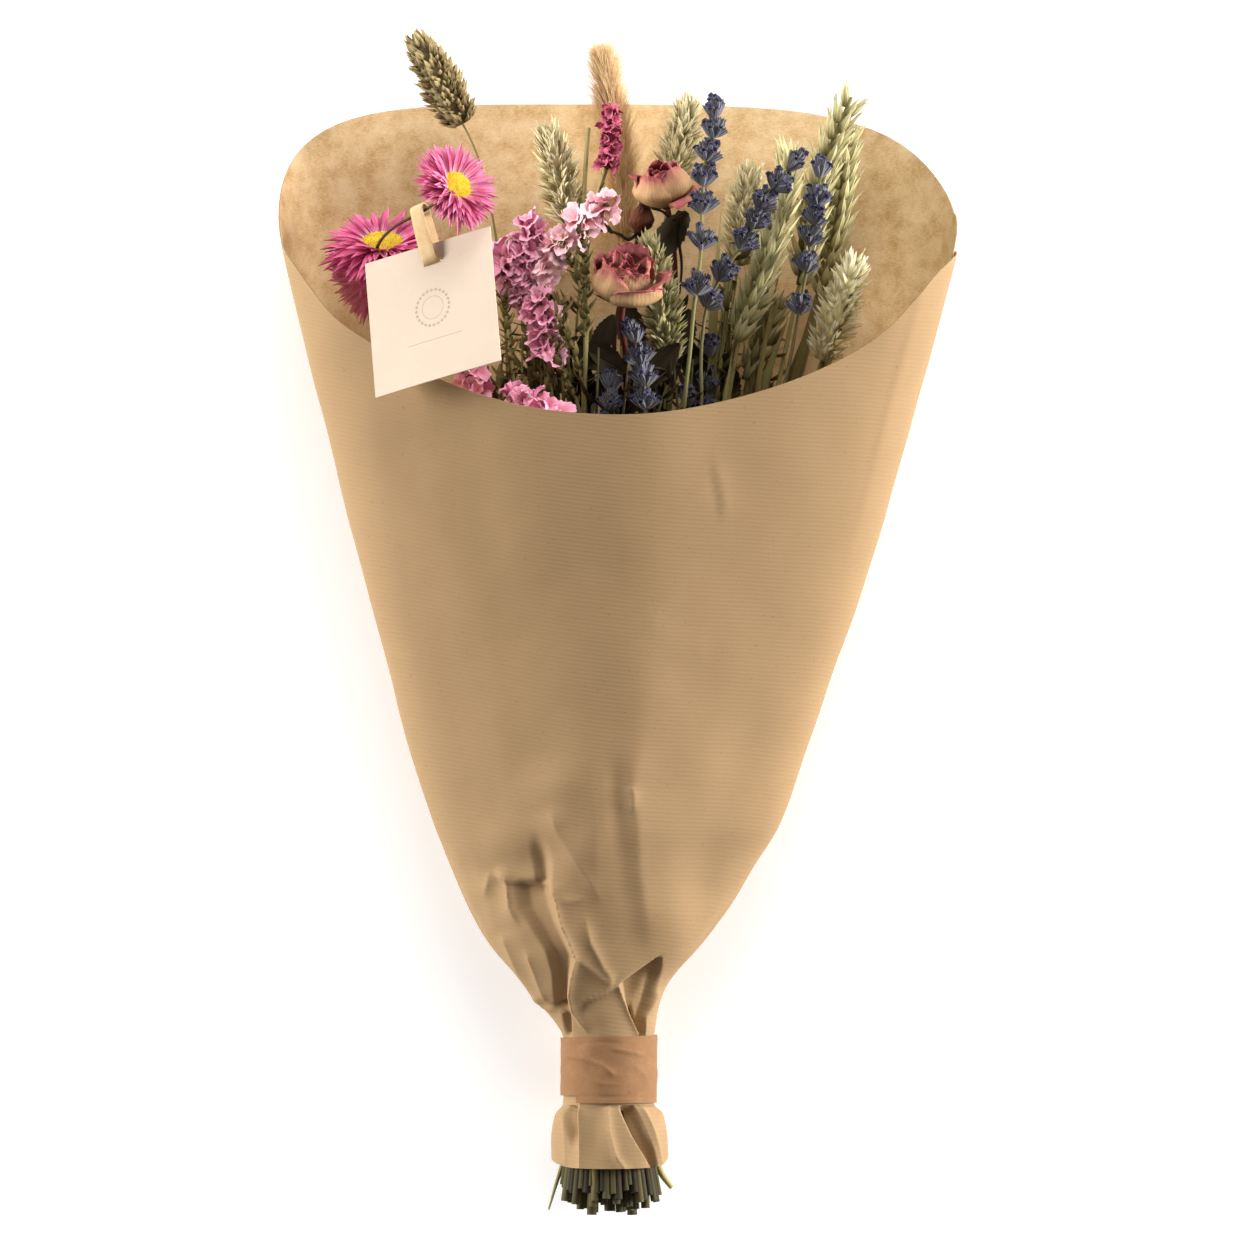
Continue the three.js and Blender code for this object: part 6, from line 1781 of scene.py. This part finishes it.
# Each plant finish: its colours at root, middle and tip, how much the repeats differ, how strong and how fine
# its mottling is, then any fine lines (how many, their colour and share) and the colour of its underside.
PLANT_FINISHES = {
    "canary pale": ((136, 126, 76), (206, 190, 138), (238, 226, 184), 0.4, 0.25, 700,
                    (2, (236, 228, 196), 0.5)),
    # A lighter copy of the pale husks for the fifth head: painted light against the shadow of the sleeve's
    # right wall.
    "canary with painted light": ((196, 186, 128), (246, 236, 192), (255, 246, 214), 0.3, 0.2, 700,
                     (2, (252, 246, 222), 0.5)),
    "canary green": ((94, 94, 48), (174, 164, 106), (218, 206, 154), 0.4, 0.25, 700,
                     (2, (220, 212, 170), 0.45)),
    "canary olive": ((88, 72, 36), (146, 126, 78), (178, 158, 112), 0.4, 0.3, 700,
                     (2, (194, 178, 136), 0.35)),
    "wheat husk": ((130, 126, 76), (184, 174, 124), (208, 196, 152), 0.4, 0.25, 600,
                   (3, (116, 118, 62), 0.35)),
    "plume hair": ((176, 134, 82), (218, 182, 132), (236, 208, 162), 0.3, 0.2, 300),
    "statice pink": ((180, 80, 112), (230, 142, 168), (240, 176, 196), 0.45, 0.2, 420,
                     (12, (250, 206, 222), 0.3), (226, 140, 176)),
    "statice pale": ((196, 120, 134), (234, 170, 180), (242, 200, 204), 0.4, 0.25, 420,
                     (14, (250, 226, 226), 0.3), (226, 168, 172)),
    "statice dark": ((96, 38, 44), (156, 54, 80), (186, 90, 112), 0.6, 0.4, 600,
                     (14, (228, 148, 168), 0.3), (170, 64, 90)),
    "petal pink": ((248, 216, 228), (230, 132, 168), (240, 160, 190), 0.4, 0.2, 500,
                   (5, (212, 80, 140), 0.25), (200, 70, 130)),
    # A deeper pink for the second daisy, darker too: partly its own colour, partly painted shade.
    "petal deeper pink with painted shade": ((244, 204, 220), (216, 104, 146), (228, 134, 166), 0.4, 0.2, 500,
                   (5, (196, 66, 124), 0.25), (186, 60, 118)),
    # A lighter copy of the pink petals for the third daisy: painted light against the shadow cast by the
    # second.
    "petal pink with painted light": ((255, 230, 240), (250, 158, 198), (255, 190, 216), 0.4, 0.2, 500,
                    (5, (240, 110, 170), 0.25), (240, 120, 176)),
    "disc yellow": ((206, 158, 30), (234, 200, 46), (240, 214, 74), 0.3, 0.3, 900),
    "rose petal": ((142, 118, 72), (174, 138, 96), (168, 68, 84), 0.4, 0.6, 200,
                   (15, (150, 86, 74), 0.14), (160, 82, 86)),
    "rose bud": ((92, 54, 30), (108, 58, 38), (64, 26, 26), 0.4, 0.5, 300, (7, (60, 28, 22), 0.4)),
    # The cups' light lines are partly the calyx's own grey ribs and partly a painted highlight along them.
    "lavender cup": ((96, 97, 76), (78, 75, 82), (64, 62, 73), 0.7, 0.4, 900, (7, (154, 152, 160), 0.4)),
    "lavender flower": ((56, 52, 72), (58, 54, 78), (78, 74, 100), 0.6, 0.4, 900),
    "bract brown": ((88, 70, 46), (128, 104, 70), (150, 120, 84), 0.4, 0.3, 500),
    "bract green": ((84, 82, 42), (124, 114, 66), (158, 134, 90), 0.5, 0.4, 500, (3, (62, 60, 30), 0.4)),
    "leaf dark": ((42, 38, 22), (48, 44, 24), (58, 40, 26), 0.5, 0.7, 200, (7, (76, 66, 40), 0.35),
                  (70, 60, 42)),
    "stem green": ((72, 64, 34), (122, 112, 64), (160, 148, 96), 0.6, 0.5, 240),
    "stem grey": ((66, 58, 32), (98, 92, 54), (132, 126, 82), 0.7, 0.45, 240),
    "stem tan": ((116, 88, 50), (150, 120, 70), (180, 148, 96), 0.5, 0.4, 240),
    "stem dark": ((44, 36, 20), (60, 46, 27), (76, 50, 33), 0.8, 0.5, 240),
    "stem red": ((50, 42, 26), (66, 38, 25), (86, 40, 28), 0.6, 0.5, 240),
}


def plant_finish(name):
    """A dry plant part: three colours along its run, a variation for each repeat, mottling, and fine lines
    of another tint along it; its underside may be paler. It is made when it is first asked for."""
    if name in bpy.data.materials:
        return bpy.data.materials[name]
    root, middle, tip, spread, mottle, scale, *more = PLANT_FINISHES[name]
    material, w, shader = new_finish(name, 0.75, 0.25, 0.2 if name == "lavender cup" else 0.0)
    tone = w.group("plant tone", tone_group, {
        "Vector": w.place(), "Run": w.attribute("run"), "Draw": w.attribute("draw"), "Spread": spread,
        "Mottle": mottle, "Scale": scale, "Root": colour(root), "Middle": colour(middle), "Tip": colour(tip)})
    shade, height = tone["Color"], tone["Height"]
    if more:
        lines, line_tint, line_share = more[0]
        inputs = {"Span": w.attribute("span"), "Wander": height, "Lines": lines}
        veins = w.group("veins", vein_group, inputs)["Mask"]
        shade = w.mix(w.times(veins, line_share), shade, colour(line_tint))
        height = w.plus(w.times(height, 0.4), w.times(veins, 0.6))
    if len(more) > 1:
        shade = w.mix(w.times(w.attribute("side"), 0.75), shade, colour(more[1]))
    w.put(shader["Base Color"], shade)
    w.put(shader["Roughness"], w.carry(tone["Height"], 0.0, 1.0, 0.63, 0.9))
    bump_of = w.add("Bump", {"Height": height, "Distance": 0.12 * MM, "Strength": 0.8})
    w.put(shader["Normal"], bump_of.outputs[0])
    return material


# ---------------------------------------------------------------- the stage
def to_scene(name, data):
    """A new object in the scene."""
    obj = bpy.data.objects.new(name, data)
    bpy.context.scene.collection.objects.link(obj)
    return obj


def build_stage(values):
    """A plain pale floor, two large soft lights low on the right and the left, one beyond the flowers, and
    the camera high above the middle of the bunch, looking straight down."""
    size, count = 6.0, 41
    line = np.linspace(-size / 2, size / 2, count)
    x, y = np.meshgrid(line, line)
    points = np.stack([x, y, np.full(x.shape, -0.0002)], axis=-1).reshape(-1, 3)
    r, c = np.meshgrid(np.arange(count - 1), np.arange(count - 1), indexing="ij")
    a = r * count + c
    faces = np.stack([a, a + 1, a + count + 1, a + count], axis=-1).reshape(-1, 4)
    mesh = bpy.data.meshes.new("floor")
    mesh.from_pydata(points.tolist(), [], faces.tolist())
    floor = to_scene("floor", mesh)
    material, w, shader = new_finish("floor board", 0.9, 0.1)
    shade = (*values.floor_shade, 1)
    tint = w.mix(w.noise(w.place(), 6.0, 2.0), darker(shade, 0.99, 0.99, 0.99), shade)
    w.put(shader["Base Color"], tint)
    w.put(shader["Emission Color"], tint)
    shader["Emission Strength"].default_value = values.floor_glow
    mesh.materials.append(material)
    aim = Vector((0, 0, 0.03))
    for label, at, power, wide in (("key light", (2.4, 0.3, 0.4), values.key_power, 1.0),
                                   ("fill light", (-2.4, 0.3, 0.42), values.fill_power, 1.0),
                                   ("far light", (0.2, 2.3, 1.5), values.top_power, 1.6)):
        lamp = bpy.data.lights.new(label, "AREA")
        lamp.energy, lamp.size = power, wide
        holder = to_scene(label, lamp)
        holder.location = at
        holder.rotation_euler = (aim - Vector(at)).to_track_quat("-Z", "Y").to_euler()
        holder.visible_camera = False
    world = bpy.data.worlds.new("studio")
    world.use_nodes = True
    surround = world.node_tree.nodes["Background"].inputs
    surround["Color"].default_value = (1.0, 0.985, 0.97, 1)
    surround["Strength"].default_value = values.surround
    bpy.context.scene.world = world
    bpy.context.scene.view_settings.view_transform = "Standard"
    camera = bpy.data.cameras.new("camera")
    camera.sensor_width = 36.0
    camera.lens = 36.0 * values.camera_height / values.view_width
    camera.clip_end = 60.0
    holder = to_scene("camera", camera)
    holder.location = (0.0019, -0.0015, 0.04 + values.camera_height)
    bpy.context.scene.camera = holder


# ---------------------------------------------------------------- settings, operators and panel
def shade_of(r, g, b):
    """Three linear shares of a screen colour."""
    return colour((r, g, b))[:3]


class BouquetPaperSettings(bpy.types.PropertyGroup):
    """Colours and ribs of the papers."""
    kraft_outer: FloatVectorProperty(name="Sleeve outside", description="Shade of the sleeve's outer face",
                                     subtype="COLOR", default=shade_of(155, 126, 90), min=0, max=1)
    # The inner face's colour, raised beyond its own as painted light for the shaded inside of the sleeve.
    kraft_inner_with_painted_light: FloatVectorProperty(name="Sleeve inside", description="Shade of the sleeve's inner face",
                                     subtype="COLOR", default=shade_of(226, 193, 143), min=0, max=1)
    tape_shade: FloatVectorProperty(name="Tape", description="Shade of the tape round the neck",
                                    subtype="COLOR", default=shade_of(132, 96, 64), min=0, max=1)
    card_shade: FloatVectorProperty(name="Card", description="Shade of the hang tag",
                                    subtype="COLOR", default=shade_of(187, 170, 151), min=0, max=1)
    strap_shade: FloatVectorProperty(name="Strap", description="Shade of the paper ribbon",
                                     subtype="COLOR", default=shade_of(198, 170, 126), min=0, max=1)
    rib_pitch: FloatProperty(name="Rib pitch", description="Distance between two ribs in millimetres",
                             default=1.6, min=0.5, max=6)


class BouquetFlowerSettings(bpy.types.PropertyGroup):
    """How many small parts the flower heads have."""
    husks: IntProperty(name="Husks", description="Husks on a head of canary grass",
                       default=270, min=40, max=600)
    plume_hairs: IntProperty(name="Plume hairs", description="Hairs of the soft plume",
                             default=5200, min=500, max=9000)
    cups: IntProperty(name="Lavender cups", description="Cups in the lower tier of a whorl",
                      default=7, min=5, max=12)
    petal_share: FloatProperty(name="Petal share", description="Share of the full number of daisy petals",
                               subtype="FACTOR", default=1.0, min=0.3, max=1.5)


class BouquetStageSettings(bpy.types.PropertyGroup):
    """Light, floor and camera."""
    floor_shade: FloatVectorProperty(name="Floor", description="Shade of the floor",
                                     subtype="COLOR", default=(0.86, 0.86, 0.855), min=0, max=1)
    key_power: FloatProperty(name="Right light", description="Power of the light on the right",
                             subtype="POWER", unit="POWER", default=144.0, min=0)
    fill_power: FloatProperty(name="Left light", description="Power of the light on the left",
                              subtype="POWER", unit="POWER", default=110.0, min=0)
    top_power: FloatProperty(name="Far light", description="Power of the light beyond the flowers",
                             subtype="POWER", unit="POWER", default=55.0, min=0)
    surround: FloatProperty(name="Surround", description="Strength of the even light all round",
                            default=0.28, min=0)
    floor_glow: FloatProperty(name="Floor glow", description="Light the floor gives off, like a lit sweep",
                              default=0.4, min=0)
    camera_height: FloatProperty(name="Camera height", description="Distance from the camera to the bunch",
                                 subtype="DISTANCE", unit="LENGTH", default=12.0, min=1)
    view_width: FloatProperty(name="View width", description="Width that the camera sees at the bunch",
                              subtype="DISTANCE", unit="LENGTH", default=0.475, min=0.1)


class BOUQUET_OT_sleeve(bpy.types.Operator):
    """Builds the folded kraft sleeve."""
    bl_idname = "bouquet.sleeve"
    bl_label = "Paper sleeve"

    def execute(self, context):
        build_sleeve(context.scene.bouquet_paper)
        return {"FINISHED"}


class BOUQUET_OT_band(bpy.types.Operator):
    """Builds the tape round the neck."""
    bl_idname = "bouquet.band"
    bl_label = "Paper tape"

    def execute(self, context):
        build_band(context.scene.bouquet_paper)
        return {"FINISHED"}


class BOUQUET_OT_card(bpy.types.Operator):
    """Builds the hang tag."""
    bl_idname = "bouquet.card"
    bl_label = "Tag"

    def execute(self, context):
        build_card(context.scene.bouquet_paper)
        return {"FINISHED"}


class BOUQUET_OT_strap(bpy.types.Operator):
    """Builds the ribbon of the tag."""
    bl_idname = "bouquet.strap"
    bl_label = "Strap"

    def execute(self, context):
        build_strap(context.scene.bouquet_paper)
        return {"FINISHED"}


class BOUQUET_OT_canary_grass(bpy.types.Operator):
    """Builds the six heads of canary grass."""
    bl_idname = "bouquet.canary_grass"
    bl_label = "Canary grass"

    def execute(self, context):
        build_phalaris(context.scene.bouquet_flowers)
        return {"FINISHED"}


class BOUQUET_OT_wheat(bpy.types.Operator):
    """Builds the four ears of wheat."""
    bl_idname = "bouquet.wheat"
    bl_label = "Wheat"

    def execute(self, context):
        build_wheat(context.scene.bouquet_flowers)
        return {"FINISHED"}


class BOUQUET_OT_plume(bpy.types.Operator):
    """Builds the soft plume."""
    bl_idname = "bouquet.plume"
    bl_label = "Plume"

    def execute(self, context):
        build_plume(context.scene.bouquet_flowers)
        return {"FINISHED"}


class BOUQUET_OT_lavender(bpy.types.Operator):
    """Builds the seven stems of lavender."""
    bl_idname = "bouquet.lavender"
    bl_label = "Lavender"

    def execute(self, context):
        build_lavender(context.scene.bouquet_flowers)
        return {"FINISHED"}


class BOUQUET_OT_statice(bpy.types.Operator):
    """Builds the five sprays of statice."""
    bl_idname = "bouquet.statice"
    bl_label = "Statice"

    def execute(self, context):
        build_statice(context.scene.bouquet_flowers)
        return {"FINISHED"}


class BOUQUET_OT_daisies(bpy.types.Operator):
    """Builds the three everlasting daisies."""
    bl_idname = "bouquet.daisies"
    bl_label = "Daisies"

    def execute(self, context):
        build_daisies(context.scene.bouquet_flowers)
        return {"FINISHED"}


class BOUQUET_OT_roses(bpy.types.Operator):
    """Builds the two roses and the bud."""
    bl_idname = "bouquet.roses"
    bl_label = "Roses"

    def execute(self, context):
        build_roses(context.scene.bouquet_flowers)
        return {"FINISHED"}


class BOUQUET_OT_bare_stems(bpy.types.Operator):
    """Builds the stems without flowers."""
    bl_idname = "bouquet.bare_stems"
    bl_label = "Bare stems"

    def execute(self, context):
        build_bare_stems(context.scene.bouquet_flowers)
        return {"FINISHED"}


class BOUQUET_OT_stage(bpy.types.Operator):
    """Builds the floor, the lights and the camera."""
    bl_idname = "bouquet.stage"
    bl_label = "Stage"

    def execute(self, context):
        build_stage(context.scene.bouquet_stage)
        return {"FINISHED"}


OPERATORS = (
    BOUQUET_OT_sleeve, BOUQUET_OT_band, BOUQUET_OT_card, BOUQUET_OT_strap, BOUQUET_OT_canary_grass,
    BOUQUET_OT_wheat, BOUQUET_OT_plume, BOUQUET_OT_lavender, BOUQUET_OT_statice, BOUQUET_OT_daisies,
    BOUQUET_OT_roses, BOUQUET_OT_bare_stems, BOUQUET_OT_stage,
)


class BOUQUET_PT_panel(bpy.types.Panel):
    """Lists the settings and the operators in the sidebar."""
    bl_idname = "BOUQUET_PT_panel"
    bl_label = "Dried flower bouquet"
    bl_space_type = "VIEW_3D"
    bl_region_type = "UI"
    bl_category = "Bouquet"

    def draw(self, context):
        for name in SETTINGS:
            box = self.layout.box()
            settings = getattr(context.scene, name)
            for key in settings.__annotations__:
                box.prop(settings, key)
        for operator in OPERATORS:
            self.layout.operator(operator.bl_idname)


SETTINGS = {"bouquet_paper": BouquetPaperSettings, "bouquet_flowers": BouquetFlowerSettings,
            "bouquet_stage": BouquetStageSettings}
CLASSES = (*SETTINGS.values(), *OPERATORS, BOUQUET_PT_panel)


def register():
    """Registers the classes and hangs the settings on the scene."""
    for item in CLASSES:
        bpy.utils.register_class(item)
    for name, group in SETTINGS.items():
        setattr(bpy.types.Scene, name, PointerProperty(type=group))


def unregister():
    """Takes the settings and the classes away again."""
    for name in SETTINGS:
        delattr(bpy.types.Scene, name)
    for item in reversed(CLASSES):
        bpy.utils.unregister_class(item)


def main():
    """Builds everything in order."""
    register()
    for operator in OPERATORS:
        getattr(bpy.ops.bouquet, operator.bl_idname.split(".")[1])()


if __name__ == "__main__":
    main()
